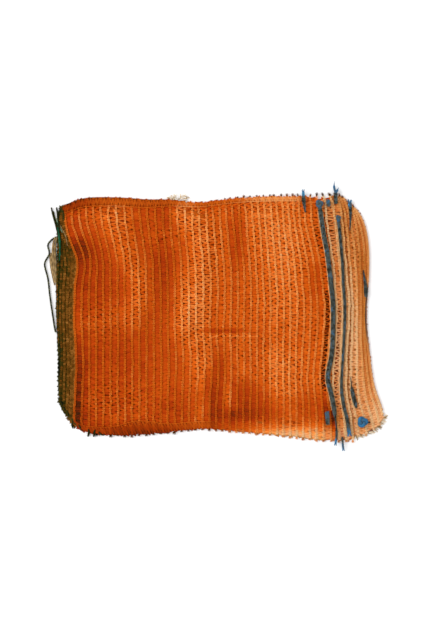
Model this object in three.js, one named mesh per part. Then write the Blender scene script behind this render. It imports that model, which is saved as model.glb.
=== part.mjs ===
// An empty knitted net bag for citrus fruit, lying flat with its mouth towards +X.
// Millimetres, +Z up. The bag lies on the plane z = 0, with the origin below its middle.

import * as THREE from "three";

// Driving dimensions of the bag
const BAG_LENGTH = 400;
const BAG_WIDTH = 300;
const CHAIN_PITCH = 8.5;
const CHAIN_RELIEF = 0.6;
const CHAIN_END_LENGTH = 3;
const EDGE_THICKNESS = 2.6;
const LOFT = 2.6;
const SEAM_ALLOWANCE = 10;
const SEAM_RISE = 16;
const FOLD_RISE = 14;
const MOUTH_FALL = 40;
const MOUTH_LOFT_KEPT = 0.55;
const MOUTH_STEP = 1;
const MOUTH_STRIP_THICKNESS = 1.8;

// Driving dimensions of the strings and the loose thread
const WIDE_STRING = { width: 5.2, thickness: 2.2 };
const FLAT_STRING = { width: 4.6, thickness: 1.8 };
const THIN_STRING = { width: 4, thickness: 1.8 };
const LOOSE_STRING = { width: 2.6, thickness: 1.6 };
const STRING_STEP = 9;
const KNOT_RADIUS = 3.3;
const KNOT_STRAND_RADIUS = 1.2;
const THREAD_DIAMETER = 1.9;
const THREAD_STEP = 3.5;
const CLEARANCE = 0.3;

// Fineness of the solids
const ROWS = 16;
const STRIP_COLUMNS = 6;
const FOLD_SAMPLES = 24;
const STRING_QUARTER = 2;
const KNOT_STEPS = 40;
const KNOT_SIDES = 6;

// Places are shares of the bag's length and width, counted from the middle of the bag.
const FOLD_EDGE = [
  [-0.437, -0.442], [-0.468, -0.385], [-0.49, -0.307], [-0.496, -0.094],
  [-0.496, 0.151], [-0.493, 0.336], [-0.486, 0.45],
];
const NEAR_SEAM = [
  [-0.437, -0.442], [-0.394, -0.472], [-0.284, -0.482], [-0.164, -0.472], [-0.041, -0.456],
  [0.081, -0.469], [0.219, -0.487], [0.327, -0.503], [0.416, -0.503],
];
const FAR_SEAM = [
  [-0.486, 0.45], [-0.45, 0.467], [-0.41, 0.484], [-0.36, 0.488], [-0.29, 0.486], [-0.22, 0.479],
  [-0.149, 0.479], [-0.057, 0.469], [0.041, 0.484], [0.143, 0.492], [0.281, 0.493], [0.367, 0.495],
];
const FRONT_MOUTH = [
  [0.416, -0.503], [0.41, -0.421], [0.394, -0.282], [0.403, 0],
  [0.399, 0.127], [0.379, 0.421], [0.367, 0.495],
];
const BACK_MOUTH = [
  [0.511, -0.422], [0.497, -0.36], [0.474, -0.266], [0.46, -0.135], [0.45, 0.008],
  [0.46, 0.184], [0.457, 0.315], [0.44, 0.4], [0.41, 0.456],
];
const STRIP_NEAR = [[0.416, -0.503], [0.46, -0.497], [0.492, -0.468], [0.511, -0.422]];
const STRIP_FAR = [[0.367, 0.495], [0.389, 0.481], [0.41, 0.456]];

// Soft ridges in the front layer: the line of the crest, its half width and its height
const RIDGES = [
  { crest: [[-0.327, 0.417], [-0.272, 0.241], [-0.238, 0.119], [-0.265, -0.004]], reach: 16, height: 5.5 },
  { crest: [[-0.265, -0.004], [-0.348, -0.02], [-0.44, -0.033]], reach: 13, height: 3 },
  { crest: [[-0.094, 0.446], [-0.045, 0.315], [-0.063, 0.119], [-0.097, -0.037]], reach: 16, height: 5.5 },
  { crest: [[-0.097, -0.037], [-0.063, -0.135], [-0.038, -0.258]], reach: 15, height: 3.5 },
  { crest: [[0.134, 0.417], [0.204, 0.233], [0.219, 0.07]], reach: 28, height: 3.5 },
  { crest: [[0.189, -0.196], [0.219, -0.389]], reach: 16, height: 3 },
];

// Routes of the strings, as they lie on the bag and over its edges
const STRINGS = [
  {
    name: "front_drawstring_inner",
    route: [
      [0.308, 0.462], [0.321, 0.34], [0.333, 0.254], [0.345, 0.135], [0.353, 0.049], [0.353, -0.049],
      [0.348, -0.151], [0.336, -0.246], [0.348, -0.323], [0.356, -0.401], [0.361, -0.471], [0.358, -0.516],
    ],
    size: WIDE_STRING,
  },
  {
    name: "front_drawstring_outer",
    route: [
      [0.367, 0.405], [0.376, 0.311], [0.382, 0.217], [0.385, 0.127], [0.389, 0.049], [0.388, -0.049],
      [0.384, -0.151], [0.379, -0.282], [0.385, -0.36], [0.394, -0.421], [0.4, -0.475],
    ],
    size: THIN_STRING,
  },
  {
    name: "back_drawstring_far_end",
    route: [[0.402, 0.352], [0.404, 0.417], [0.402, 0.468]],
    size: THIN_STRING,
  },
  {
    name: "back_drawstring_near_end",
    route: [[0.408, -0.246], [0.413, -0.303], [0.423, -0.368]],
    size: FLAT_STRING,
  },
  {
    name: "back_drawstring_rim_stretch",
    route: [[0.443, 0.192], [0.45, 0.127], [0.452, 0.082]],
    size: FLAT_STRING,
  },
  {
    name: "seam_tail_far_left",
    route: [[0.265, 0.426], [0.261, 0.47], [0.259, 0.512]],
    size: THIN_STRING,
  },
  {
    name: "seam_tail_far_middle",
    route: [[0.338, 0.45], [0.336, 0.465], [0.334, 0.48]],
    size: WIDE_STRING,
  },
  {
    name: "seam_tail_far_right",
    route: [[0.359, 0.462], [0.358, 0.505], [0.354, 0.552]],
    size: FLAT_STRING,
  },
  {
    name: "seam_tail_near_left",
    route: [[0.331, -0.385], [0.333, -0.41], [0.334, -0.438]],
    size: WIDE_STRING,
  },
  {
    name: "seam_tail_near_right",
    route: [[0.379, -0.49], [0.38, -0.514], [0.382, -0.54]],
    size: LOOSE_STRING,
  },
];
const KNOT_PLACE = [0.439, -0.428];
const THREAD_ROUTE = [
  [-0.4975, 0.326], [-0.511, 0.316], [-0.523, 0.294], [-0.519, 0.258], [-0.533, 0.217], [-0.523, 0.156],
  [-0.517, 0.086], [-0.509, 0.012], [-0.503, -0.04], [-0.4995, -0.062],
];

const net = new THREE.MeshStandardMaterial({ color: 0xd0641d, roughness: 0.6, metalness: 0 });
const blueString = new THREE.MeshStandardMaterial({ color: 0x2d5a86, roughness: 0.5, metalness: 0 });
const greenThread = new THREE.MeshStandardMaterial({ color: 0x2e3b22, roughness: 0.7, metalness: 0 });

// The point of the bag's plan at a share of its length and width
function at([alongShare, acrossShare]) {
  return new THREE.Vector2(alongShare * BAG_LENGTH, acrossShare * BAG_WIDTH);
}

function curveThrough(shares) {
  return new THREE.SplineCurve(shares.map(at));
}

// The two areas of the bag in plan: the front layer, and the strip of the back layer beyond its mouth
const frontArea = {
  left: curveThrough(FOLD_EDGE),
  right: curveThrough(FRONT_MOUTH),
  near: curveThrough(NEAR_SEAM),
  far: curveThrough(FAR_SEAM),
};
const stripArea = {
  left: frontArea.right,
  right: curveThrough(BACK_MOUTH),
  near: curveThrough(STRIP_NEAR),
  far: curveThrough(STRIP_FAR),
};
const frontChains = Math.round(frontArea.far.getLength() / CHAIN_PITCH);
const frontColumns = 2 * frontChains;
const columns = frontColumns + STRIP_COLUMNS;

// The place inside four edge curves that is the share u along and the share v across them
function insideEdges(area, u, v) {
  const across = area.near.getPointAt(u).lerp(area.far.getPointAt(u), v);
  const along = area.left.getPointAt(v).lerp(area.right.getPointAt(v), u);
  const nearEnd = area.near.getPointAt(0).lerp(area.near.getPointAt(1), u);
  const farEnd = area.far.getPointAt(0).lerp(area.far.getPointAt(1), u);
  return across.add(along).sub(nearEnd.lerp(farEnd, v));
}

const ridgeLines = RIDGES.map((ridge) => ({
  ...ridge,
  points: curveThrough(ridge.crest).getPoints(FOLD_SAMPLES),
}));

// How far the ridges lift the front layer at a spot
function ridgeLift(spot) {
  let lift = 0;
  for (const ridge of ridgeLines) {
    const nearest = Math.min(...ridge.points.map((point) => point.distanceTo(spot)));
    lift = Math.max(lift, ridge.height * Math.exp(-((nearest / ridge.reach) ** 2)));
  }
  return lift;
}

// From 0 at the seams and the bottom fold to 1 in the body of the bag
function loftShare(u, v) {
  const fromSeam = Math.min(v, 1 - v) * BAG_WIDTH - SEAM_ALLOWANCE;
  const fromFold = u * BAG_LENGTH;
  const fromMouth = (1 - u) * BAG_LENGTH;
  const seamShare = THREE.MathUtils.smoothstep(fromSeam, 0, SEAM_RISE);
  const foldShare = THREE.MathUtils.smoothstep(fromFold, 0, FOLD_RISE);
  const mouthShare = THREE.MathUtils.lerp(
    MOUTH_LOFT_KEPT,
    1,
    THREE.MathUtils.smoothstep(fromMouth, 0, MOUTH_FALL),
  );
  return seamShare * foldShare * mouthShare;
}

// The bag's plan and top height at a column and a row of its grid; odd columns follow the chains.
function gridSpot(column, rowShare) {
  const v = 0.5 - 0.5 * Math.cos(Math.PI * rowShare);
  const onChain = column % 2 === 1;
  const relief = onChain ? CHAIN_RELIEF : 0;
  let spot;
  let height;
  if (column <= frontColumns) {
    const u = column / frontColumns;
    spot = insideEdges(frontArea, u, v);
    height = EDGE_THICKNESS + (LOFT + ridgeLift(spot)) * loftShare(u, v) + relief;
  } else {
    const stripShare = (column - frontColumns - 1) / (STRIP_COLUMNS - 1);
    const stripWidth = stripArea.left.getPointAt(v).distanceTo(stripArea.right.getPointAt(v));
    const stepShare = MOUTH_STEP / stripWidth;
    spot = insideEdges(stripArea, THREE.MathUtils.lerp(stepShare, 1, stripShare), v);
    height = MOUTH_STRIP_THICKNESS + relief;
  }
  const cutEnd = onChain ? CHAIN_END_LENGTH / 2 : -CHAIN_END_LENGTH / 2;
  if (rowShare === 0) spot.y -= cutEnd;
  if (rowShare === 1) spot.y += cutEnd;
  return { spot, height };
}

// One closed body: both net layers and their sewn edges, flat below and ridged above
function netBagGeometry() {
  const geometry = new THREE.BoxGeometry(1, 1, 1, columns, ROWS, 1);
  const places = geometry.attributes.position;
  for (let i = 0; i < places.count; i += 1) {
    const column = Math.round((places.getX(i) + 0.5) * columns);
    const rowShare = Math.round((places.getY(i) + 0.5) * ROWS) / ROWS;
    const { spot, height } = gridSpot(column, rowShare);
    places.setXYZ(i, spot.x, spot.y, places.getZ(i) > 0 ? height : 0);
  }
  geometry.computeVertexNormals();
  return geometry;
}

function namedMesh(name, geometry, material) {
  const mesh = new THREE.Mesh(geometry, material);
  mesh.name = name;
  return mesh;
}

const netBag = namedMesh("net_bag", netBagGeometry(), net);
const caster = new THREE.Raycaster();
const DOWN = new THREE.Vector3(0, 0, -1);
const ABOVE = 100;

// The highest point of the bag under a string of a given width, or the floor beside the bag
function heightUnder(spot, width) {
  let highest = 0;
  for (const dx of [-width, -width / 2, 0, width / 2, width]) {
    for (const dy of [-STRING_STEP / 2, 0, STRING_STEP / 2]) {
      caster.set(new THREE.Vector3(spot.x + dx, spot.y + dy, ABOVE), DOWN);
      const [hit] = caster.intersectObject(netBag);
      if (hit) highest = Math.max(highest, hit.point.z);
    }
  }
  return highest;
}

function sweep(points, steps, width, thickness) {
  const section = new THREE.Shape();
  section.absellipse(0, 0, thickness / 2, width / 2, 0, 2 * Math.PI);
  const extrudePath = new THREE.CatmullRomCurve3(points);
  return new THREE.ExtrudeGeometry(section, { steps, extrudePath, curveSegments: 2 * STRING_QUARTER });
}

// Lifts the lower of two neighbouring points to the other's height
function levelOff(first, second) {
  first.z = Math.max(first.z, second.z);
  second.z = first.z;
}

// A flat string laid on the bag along its route, level at both ends
function stringMesh({ name, route, size }) {
  const { width, thickness } = size;
  const plan = curveThrough(route);
  const steps = Math.max(4, Math.round(plan.getLength() / STRING_STEP));
  const spots = plan.getSpacedPoints(steps);
  const under = spots.map((spot) => heightUnder(spot, width));
  const points = spots.map((spot, i) => {
    const neighbours = under.slice(Math.max(0, i - 1), i + 2);
    return new THREE.Vector3(spot.x, spot.y, Math.max(...neighbours) + thickness / 2 + CLEARANCE);
  });
  levelOff(points[0], points[1]);
  levelOff(points[steps], points[steps - 1]);
  return namedMesh(name, sweep(points, steps, width, thickness), blueString);
}

// The overhand knot at a string's end, lying on the mouth strip
function knotMesh() {
  const geometry = new THREE.TorusKnotGeometry(KNOT_RADIUS, KNOT_STRAND_RADIUS, KNOT_STEPS, KNOT_SIDES);
  const mesh = namedMesh("drawstring_knot", geometry, blueString);
  const place = at(KNOT_PLACE);
  const halfHeight = KNOT_RADIUS / 2 + KNOT_STRAND_RADIUS;
  mesh.position.set(place.x, place.y, heightUnder(place, WIDE_STRING.width) + halfHeight + CLEARANCE);
  return mesh;
}

// The thread that has pulled out of the bottom edge and lies beside it
function threadMesh() {
  const plan = curveThrough(THREAD_ROUTE);
  const steps = Math.round(plan.getLength() / THREAD_STEP);
  const lift = THREAD_DIAMETER / 2 + CLEARANCE;
  const points = plan.getSpacedPoints(steps).map((spot) => new THREE.Vector3(spot.x, spot.y, lift));
  return namedMesh("loose_thread", sweep(points, steps, THREAD_DIAMETER, THREAD_DIAMETER), greenThread);
}

const held = new THREE.Group();
held.add(netBag, ...STRINGS.map(stringMesh), knotMesh());

// The origin is set below the middle of the bag and its strings, without the loose thread.
const middle = new THREE.Box3().setFromObject(held).getCenter(new THREE.Vector3());
const bag = new THREE.Group();
bag.add(held, threadMesh());
bag.children.forEach((child) => child.position.set(-middle.x, -middle.y, 0));

export default bag;
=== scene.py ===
"""Looks of an empty net bag for citrus fruit that lies flat with its mouth towards +X.

The bag is two layers of warp-knitted net. Chains of loops run across it, flat tapes cross the gaps
between the chains like the rungs of a ladder, and the layers are sewn together along both sides.
Lengths are metres. Places in plan are shares of the bag's length and width, from its middle.
"""

import logging
import math
from dataclasses import dataclass, field, fields
from enum import Enum
from typing import Any, Callable, Sequence

import bmesh
import bpy
import numpy as np
from bpy.types import ColorRamp, Material, Mesh, Node, NodeSocket, Object
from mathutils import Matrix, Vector
from mathutils.bvhtree import BVHTree


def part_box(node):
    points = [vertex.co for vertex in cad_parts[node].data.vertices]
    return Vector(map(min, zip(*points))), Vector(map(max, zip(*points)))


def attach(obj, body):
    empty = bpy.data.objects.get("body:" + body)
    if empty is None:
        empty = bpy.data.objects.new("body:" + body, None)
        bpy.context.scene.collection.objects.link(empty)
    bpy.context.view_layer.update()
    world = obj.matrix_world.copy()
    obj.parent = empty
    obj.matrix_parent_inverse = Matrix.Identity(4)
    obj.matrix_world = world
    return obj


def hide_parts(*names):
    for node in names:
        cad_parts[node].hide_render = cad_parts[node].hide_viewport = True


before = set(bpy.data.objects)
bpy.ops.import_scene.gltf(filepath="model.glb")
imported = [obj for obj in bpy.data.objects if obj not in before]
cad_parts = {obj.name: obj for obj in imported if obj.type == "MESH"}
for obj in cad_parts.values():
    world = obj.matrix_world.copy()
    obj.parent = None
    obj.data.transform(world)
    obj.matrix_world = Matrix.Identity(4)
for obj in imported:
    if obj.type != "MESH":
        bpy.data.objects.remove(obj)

Array = np.ndarray
Pair = tuple[float, float]
Shares = tuple[Pair, ...]
Triple = tuple[float, float, float]
Colour = Triple
Surface = Callable[[Array, Array], Array]
Reading = Callable[[Array], Array]

SEED = 20
BODY = "root"
UP = np.array((0.0, 0.0, 1.0))
TURN = 2.0 * math.pi
TINY = 1e-6
log = logging.getLogger("net bag")


class Slot(Enum):
    """The record's material slots."""

    NET = "net"
    DRAWSTRING = "drawstring"
    BOTTOM_YARN = "bottom_yarn"


def srgb(red: int, green: int, blue: int) -> Colour:
    """Turns a colour as seen on a screen, from 0 to 255, into a linear one."""
    shares = (red / 255, green / 255, blue / 255)
    return tuple(c / 12.92 if c <= 0.04045 else ((c + 0.055) / 1.055) ** 2.4 for c in shares)


def smoothstep(value: Array, start: float, end: float) -> Array:
    """Rises smoothly from 0 at start to 1 at end."""
    share = np.clip((value - start) / (end - start), 0.0, 1.0)
    return share * share * (3.0 - 2.0 * share)


def unit(vectors: Array) -> Array:
    """Scales vectors in the last axis to length one."""
    return vectors / np.linalg.norm(vectors, axis=-1, keepdims=True)


def blurred(values: Array, reach: int) -> Array:
    """Averages each value of a row with so many neighbours on each side."""
    kernel = np.ones(2 * reach + 1) / (2 * reach + 1)
    return np.convolve(np.pad(values, reach, mode="edge"), kernel, mode="valid")


def raised(spots: Array, heights: Array) -> Array:
    """Gives plan points their heights."""
    return np.concatenate((spots, heights[..., None]), axis=-1)


def angles_of(across: Array, along: Array, up: Array) -> Array:
    """Works out the angles about X, Y and Z of sets of local axes.

    Args:
        across: The local X axes, one a row.
        along: The local Y axes.
        up: The local Z axes.

    Returns:
        The angles in radians, one row for each set of axes.
    """
    tilt = -np.arcsin(np.clip(across[:, 2], -1.0, 1.0))
    roll = np.arctan2(along[:, 2], up[:, 2])
    turn = np.arctan2(across[:, 1], across[:, 0])
    return np.stack((roll, tilt, turn), axis=-1)


def turned(along: Array, up: Array) -> Array:
    """Works out the angles of shapes whose Y axes run along and whose Z axes point up at best."""
    over = unit(np.cross(along, up))
    return angles_of(over, along, np.cross(over, along))


@dataclass(frozen=True)
class Slope:
    """A smooth rise or fall of a value from one share of the bag's length to another."""

    start: float
    end: float
    gain: float

    def at(self, along: Array) -> Array:
        """Gives what the slope adds at shares along the bag."""
        return self.gain * smoothstep(along, self.start, self.end)


def climbed(base: float, slopes: Sequence[Slope], along: Array) -> Array:
    """Adds slopes to a base value at shares along the bag."""
    return base + sum(slope.at(along) for slope in slopes)


@dataclass(frozen=True)
class Patch:
    """A soft oval patch of the bag, and what it adds in its middle to a tone, an openness or a place.

    The chains take only a share of what a patch adds to the tone.
    """

    centre: Pair
    reach: Pair
    gain: float
    chain_share: float = 1.0

    def at(self, shares: Array) -> Array:
        """Gives what the patch adds at shares of the bag's length and width."""
        return self.gain * np.exp(-(((shares - self.centre) / self.reach) ** 2).sum(axis=-1))


def patched(patches: Sequence[Patch], shares: Array) -> Array:
    """Adds up what patches add at shares of the bag's length and width."""
    return sum(patch.at(shares) for patch in patches)


class PlanCurve:
    """A smooth line through points of the bag's plan, walked by its length."""

    STEPS_A_SPAN = 40

    def __init__(self, points: Array) -> None:
        """Samples the line.

        Args:
            points: The plan points that it goes through, in metres.
        """
        self.line = self._rounded(points)
        steps = np.linalg.norm(np.diff(self.line, axis=0), axis=1)
        walk = np.concatenate(([0.0], np.cumsum(steps)))
        self.length = float(walk[-1])
        self.walk = walk / self.length

    def _rounded(self, points: Array) -> Array:
        """Samples a smooth cubic line through the points.

        Args:
            points: The points to go through.

        Returns:
            Close points of the line.
        """
        before = np.vstack((points[:1], points[:-2]))
        after = np.vstack((points[2:], points[-1:]))
        share = np.linspace(0.0, 1.0, self.STEPS_A_SPAN, endpoint=False)[:, None]
        spans = []
        for first, second, p0, p3 in zip(points[:-1], points[1:], before, after):
            leave, arrive = (second - p0) / 2.0, (p3 - first) / 2.0
            cubic = 2.0 * first - 2.0 * second + leave + arrive
            square = -3.0 * first + 3.0 * second - 2.0 * leave - arrive
            spans.append(cubic * share**3 + square * share**2 + leave * share + first)
        return np.vstack((*spans, points[-1:]))

    def at(self, share: Array) -> Array:
        """Gives the points at shares of the line's length."""
        columns = [np.interp(share, self.walk, self.line[:, axis]) for axis in (0, 1)]
        return np.stack(columns, axis=-1)


class Ground:
    """A CAD solid, looked at from straight above."""

    ABOVE = 1.0

    def __init__(self, node: str) -> None:
        """Makes a node's solid ready to be looked at."""
        graph = bpy.context.evaluated_depsgraph_get()
        self.tree = BVHTree.FromObject(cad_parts[node], graph)

    def height(self, spots: Array) -> Array:
        """Reads the top of the solid.

        Args:
            spots: Plan points.

        Returns:
            The height at each point, or nan beside the solid.
        """
        down = Vector((0.0, 0.0, -1.0))
        hits = [self.tree.ray_cast(Vector((x, y, self.ABOVE)), down)[0] for x, y in spots]
        return np.array([math.nan if hit is None else hit.z for hit in hits])


@dataclass(frozen=True)
class Area:
    """A part of the bag's plan inside four edge lines."""

    left: PlanCurve
    right: PlanCurve
    near: PlanCurve
    far: PlanCurve

    def spot(self, u: Array, v: Array) -> Array:
        """Finds plan points inside the edges.

        Args:
            u: Shares from the left edge to the right one.
            v: Shares from the near edge to the far one.

        Returns:
            The plan points.
        """
        near, far, left, right = self.near.at(u), self.far.at(u), self.left.at(v), self.right.at(v)
        along, over = u[..., None], v[..., None]
        near_line = self.near.line[0] * (1 - along) + self.near.line[-1] * along
        far_line = self.far.line[0] * (1 - along) + self.far.line[-1] * along
        edges = near * (1 - over) + far * over + left * (1 - along) + right * along
        return edges - (near_line * (1 - over) + far_line * over)


@dataclass(frozen=True)
class Ridge:
    """A soft ridge in the front layer."""

    crest: Shares
    reach: float
    height: float


@dataclass
class BagForm:
    """The bag's outline in plan and the height of its two layers."""

    length: float = 0.400
    width: float = 0.300
    edge_thickness: float = 0.0026
    loft: float = 0.0026
    seam_allowance: float = 0.010
    seam_rise: float = 0.016
    fold_rise: float = 0.014
    mouth_fall: float = 0.040
    mouth_loft_kept: float = 0.55
    front_sink: float = 0.0004
    back_height: float = 0.0011
    layer_gap: float = 0.0017
    strip_heights: Pair = (0.0018, 0.0024)
    strip_width: float = 0.036
    hem_drop: float = 0.0011
    hem_inset: float = 0.0040
    band_share: float = 0.066
    fan_shift: float = 0.044
    fan_reach: float = 0.50
    fan_rise: Pair = (0.70, 0.98)
    upright_line: float = 0.45
    upright_fade: float = 0.1
    upright_free: Pair = (0.80, 1.0)
    settling_steps: int = 3
    chain_stretch: float = 0.89
    mouth_hold: float = 0.10
    strip_rise: float = 0.4
    crest_stride: int = 8
    edge_share: float = 0.001
    fold_edge: Shares = (
        (-0.437, -0.442), (-0.468, -0.385), (-0.49, -0.307), (-0.496, -0.094),
        (-0.496, 0.151), (-0.493, 0.336), (-0.486, 0.45),
    )
    near_seam: Shares = (
        (-0.437, -0.442), (-0.394, -0.472), (-0.284, -0.482), (-0.164, -0.472), (-0.041, -0.456),
        (0.081, -0.469), (0.219, -0.487), (0.327, -0.503), (0.416, -0.503),
    )
    far_seam: Shares = (
        (-0.486, 0.45), (-0.45, 0.467), (-0.41, 0.484), (-0.36, 0.488), (-0.29, 0.486), (-0.22, 0.479),
        (-0.149, 0.479), (-0.057, 0.469), (0.041, 0.484), (0.143, 0.492), (0.281, 0.493), (0.367, 0.495),
    )
    front_mouth: Shares = (
        (0.416, -0.503), (0.41, -0.421), (0.394, -0.282), (0.403, 0.0),
        (0.399, 0.127), (0.379, 0.421), (0.367, 0.495),
    )
    back_mouth: Shares = (
        (0.511, -0.422), (0.497, -0.36), (0.474, -0.266), (0.46, -0.135), (0.45, 0.008),
        (0.46, 0.184), (0.457, 0.315), (0.44, 0.4), (0.41, 0.456),
    )
    strip_near: Shares = ((0.416, -0.503), (0.46, -0.497), (0.492, -0.468), (0.511, -0.422))
    strip_far: Shares = ((0.367, 0.495), (0.389, 0.481), (0.41, 0.456))
    near_cut: Shares = ((0.405, -0.490), (0.450, -0.474), (0.474, -0.461), (0.493, -0.438), (0.510, -0.398))
    far_steps: tuple[float, ...] = (0.388, 0.408, 0.428, 0.440)
    far_cuts: tuple[float, ...] = (0.600, 0.464, 0.448, 0.421, 0.393)
    ridges: tuple[Ridge, ...] = (
        Ridge(((-0.327, 0.417), (-0.272, 0.241), (-0.238, 0.119), (-0.265, -0.004)), 0.016, 0.0055),
        Ridge(((-0.265, -0.004), (-0.348, -0.02), (-0.44, -0.033)), 0.013, 0.003),
        Ridge(((-0.094, 0.446), (-0.045, 0.315), (-0.063, 0.119), (-0.097, -0.037)), 0.016, 0.0055),
        Ridge(((-0.097, -0.037), (-0.063, -0.135), (-0.038, -0.258)), 0.015, 0.0035),
        Ridge(((0.134, 0.417), (0.204, 0.233), (0.219, 0.07)), 0.028, 0.0035),
        Ridge(((0.189, -0.196), (0.219, -0.389)), 0.016, 0.003),
    )
    drifts: tuple[Patch, ...] = (
        Patch((0.315, -0.235), (0.090, 0.100), -0.0035),
        Patch((0.310, 0.400), (0.100, 0.120), -0.0070),
        Patch((0.335, 0.000), (0.060, 0.140), 0.0015),
        Patch((-0.050, -0.200), (0.120, 0.120), 0.003),
        Patch((0.020, 0.180), (0.100, 0.130), 0.003),
        Patch((-0.431, 0.235), (0.050, 0.085), 0.0045),
        Patch((-0.435, -0.200), (0.040, 0.150), 0.0025),
        Patch((-0.496, -0.150), (0.024, 0.120), 0.0016),
    )
    shift: Array = field(init=False)
    front_area: Area = field(init=False)
    strip_area: Area = field(init=False)
    crests: list[Array] = field(init=False)
    ground: Ground = field(init=False)

    def __post_init__(self) -> None:
        """Fits the outline to the bag's solid and makes its areas."""
        low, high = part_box("net_bag")
        self.shift = np.zeros(2)
        edges = (self.fold_edge, self.near_seam, self.far_seam, self.back_mouth, self.strip_near)
        outline = np.vstack([self.curve(shares).line for shares in edges])
        middle = (outline.min(axis=0) + outline.max(axis=0)) / 2.0
        self.shift = np.array(((low.x + high.x) / 2.0, (low.y + high.y) / 2.0)) - middle
        mouth = self.curve(self.front_mouth)
        self.front_area = Area(
            self.curve(self.fold_edge), mouth, self.curve(self.near_seam), self.curve(self.far_seam)
        )
        self.strip_area = Area(
            mouth, self.curve(self.back_mouth), self.curve(self.strip_near), self.curve(self.strip_far)
        )
        self.crests = [self.curve(ridge.crest).line for ridge in self.ridges]
        self.ground = Ground("net_bag")

    def plan(self, shares: Sequence[Sequence[float]]) -> Array:
        """Turns shares of the bag's length and width into plan points."""
        return np.array(shares) * (self.length, self.width) + self.shift

    def curve(self, shares: Shares) -> PlanCurve:
        """Draws a smooth line through shares of the bag's length and width."""
        return PlanCurve(self.plan(shares))

    def shares_of(self, spots: Array) -> Array:
        """Turns plan points back into shares of the bag's length and width."""
        return (spots[..., :2] - self.shift) / (self.length, self.width)

    def ridge_share(self, spots: Array) -> Array:
        """Tells how high the ridges lift the front layer.

        Args:
            spots: Plan points.

        Returns:
            The lift at each point, in metres.
        """
        lift = np.zeros(spots.shape[:-1])
        for ridge, crest in zip(self.ridges, self.crests):
            gaps = np.linalg.norm(spots[..., None, :] - crest[:: self.crest_stride], axis=-1).min(axis=-1)
            lift = np.maximum(lift, ridge.height * np.exp(-((gaps / ridge.reach) ** 2)))
        return lift

    def front_height(self, u: Array, v: Array, spots: Array) -> Array:
        """Gives the front layer's height.

        Args:
            u: Shares from the bottom fold to the front mouth.
            v: Shares from the near seam to the far one.
            spots: The plan points at u and v.

        Returns:
            The height at each point.
        """
        from_seam = np.minimum(v, 1 - v) * self.width - self.seam_allowance
        seam = smoothstep(from_seam, 0.0, self.seam_rise)
        fold = smoothstep(u * self.length, 0.0, self.fold_rise)
        mouth = smoothstep((1 - u) * self.length, 0.0, self.mouth_fall)
        share = seam * fold * (self.mouth_loft_kept + (1 - self.mouth_loft_kept) * mouth)
        return self.edge_thickness - self.front_sink + (self.loft + self.ridge_share(spots)) * share

    def fanned(self, s: Array, v: Array) -> Array:
        """Bends the chains near the bottom fold towards its far corner.

        Args:
            s: Shares along the bag, counted in chains.
            v: Shares across the bag.

        Returns:
            Shares along the bag in plan.
        """
        pull = self.fan_shift * smoothstep(v, *self.fan_rise)
        body = s - pull * (1 - smoothstep(s - self.band_share, 0.0, self.fan_reach))
        band = s * (self.band_share - pull) / self.band_share
        return np.where(s < self.band_share, band, body)

    def settled(self, s: Array, v: Array) -> Array:
        """Keeps the chains upright in the near half of the bag, so that its near corner cuts them off.

        Args:
            s: Shares along the bag, counted in chains.
            v: Shares across the bag.

        Returns:
            Shares along the bag in plan, below the edge share where a chain is cut off.
        """
        u = self.fanned(s, v)
        free = smoothstep(s, *self.upright_free)
        hold = smoothstep(self.upright_line - v, 0.0, self.upright_fade) * (1 - free)
        goal = self.front_area.spot(s, np.full_like(v, self.upright_line))[..., 0]
        for _ in range(self.settling_steps):
            u = u - hold * (self.front_area.spot(u, v)[..., 0] - goal) / (self.chain_stretch * self.length)
        return u

    def on_front(self, s: Array, v: Array) -> Array:
        """Tells where the chains are on the bag and not cut off by its near corner."""
        return self.settled(s, v) > self.edge_share

    def front(self, s: Array, v: Array) -> Array:
        """Gives points of the front layer at shares along and across it, counted in chains."""
        return self.laid(np.maximum(self.settled(s, v), self.edge_share), v)

    def laid(self, u: Array, v: Array) -> Array:
        """Gives points of the front layer at shares along and across its plan."""
        spots = self.drifted(self.front_area.spot(u, v), smoothstep(1 - u, 0.0, self.mouth_hold))
        return raised(spots, self.front_height(u, v, spots))

    def drifted(self, spots: Array, freedom: Array) -> Array:
        """Moves plan points as the pulls on the chains do.

        Args:
            spots: The plan points.
            freedom: How freely each can move, from 0 to 1.

        Returns:
            The moved points.
        """
        moved = spots.copy()
        moved[..., 0] += freedom * patched(self.drifts, self.shares_of(spots))
        return moved

    def _sunk(self, points: Array, drop: float) -> Array:
        """Lowers points of a layer, but never below the back layer's own height."""
        points[..., 2] = np.maximum(points[..., 2] - drop, self.back_height)
        return points

    def back(self, s: Array, v: Array) -> Array:
        """Gives points of the back layer, which clings to the front one where that rises."""
        return self._sunk(self.front(s, v), self.layer_gap)

    def strip(self, s: Array, v: Array) -> Array:
        """Gives points of the back layer beyond the front mouth.

        Args:
            s: Shares from the front mouth to the back one, below 0 where the front layer covers it.
            v: Shares from the near side to the far one.

        Returns:
            The points.
        """
        spots = self.strip_area.spot(np.maximum(s, 0.0), v)
        spots[..., 0] += self.strip_width * np.minimum(s, 0.0)
        low, high = self.strip_heights
        return raised(spots, low + (high - low) * smoothstep(s, 0.0, self.strip_rise))

    def past_cut(self, places: Array) -> Array:
        """Tells what lies past the cut corners of the mouth: a slanting cut near, steps far.

        Args:
            places: Points of the strip.

        Returns:
            Whether each lies past a cut.
        """
        along, across = np.moveaxis(self.shares_of(places), -1, 0)
        near = np.interp(along, *np.array(self.near_cut).T)
        far = np.array(self.far_cuts)[np.searchsorted(self.far_steps, along)]
        return (across < near) | (across > far)

    def past_hem(self, places: Array) -> Array:
        """Tells what lies past the ends of the layer below the strip, which is cut a little shorter."""
        return self.past_cut(places + np.sign(places[..., 1:2]) * (0.0, self.hem_inset, 0.0))

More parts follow.
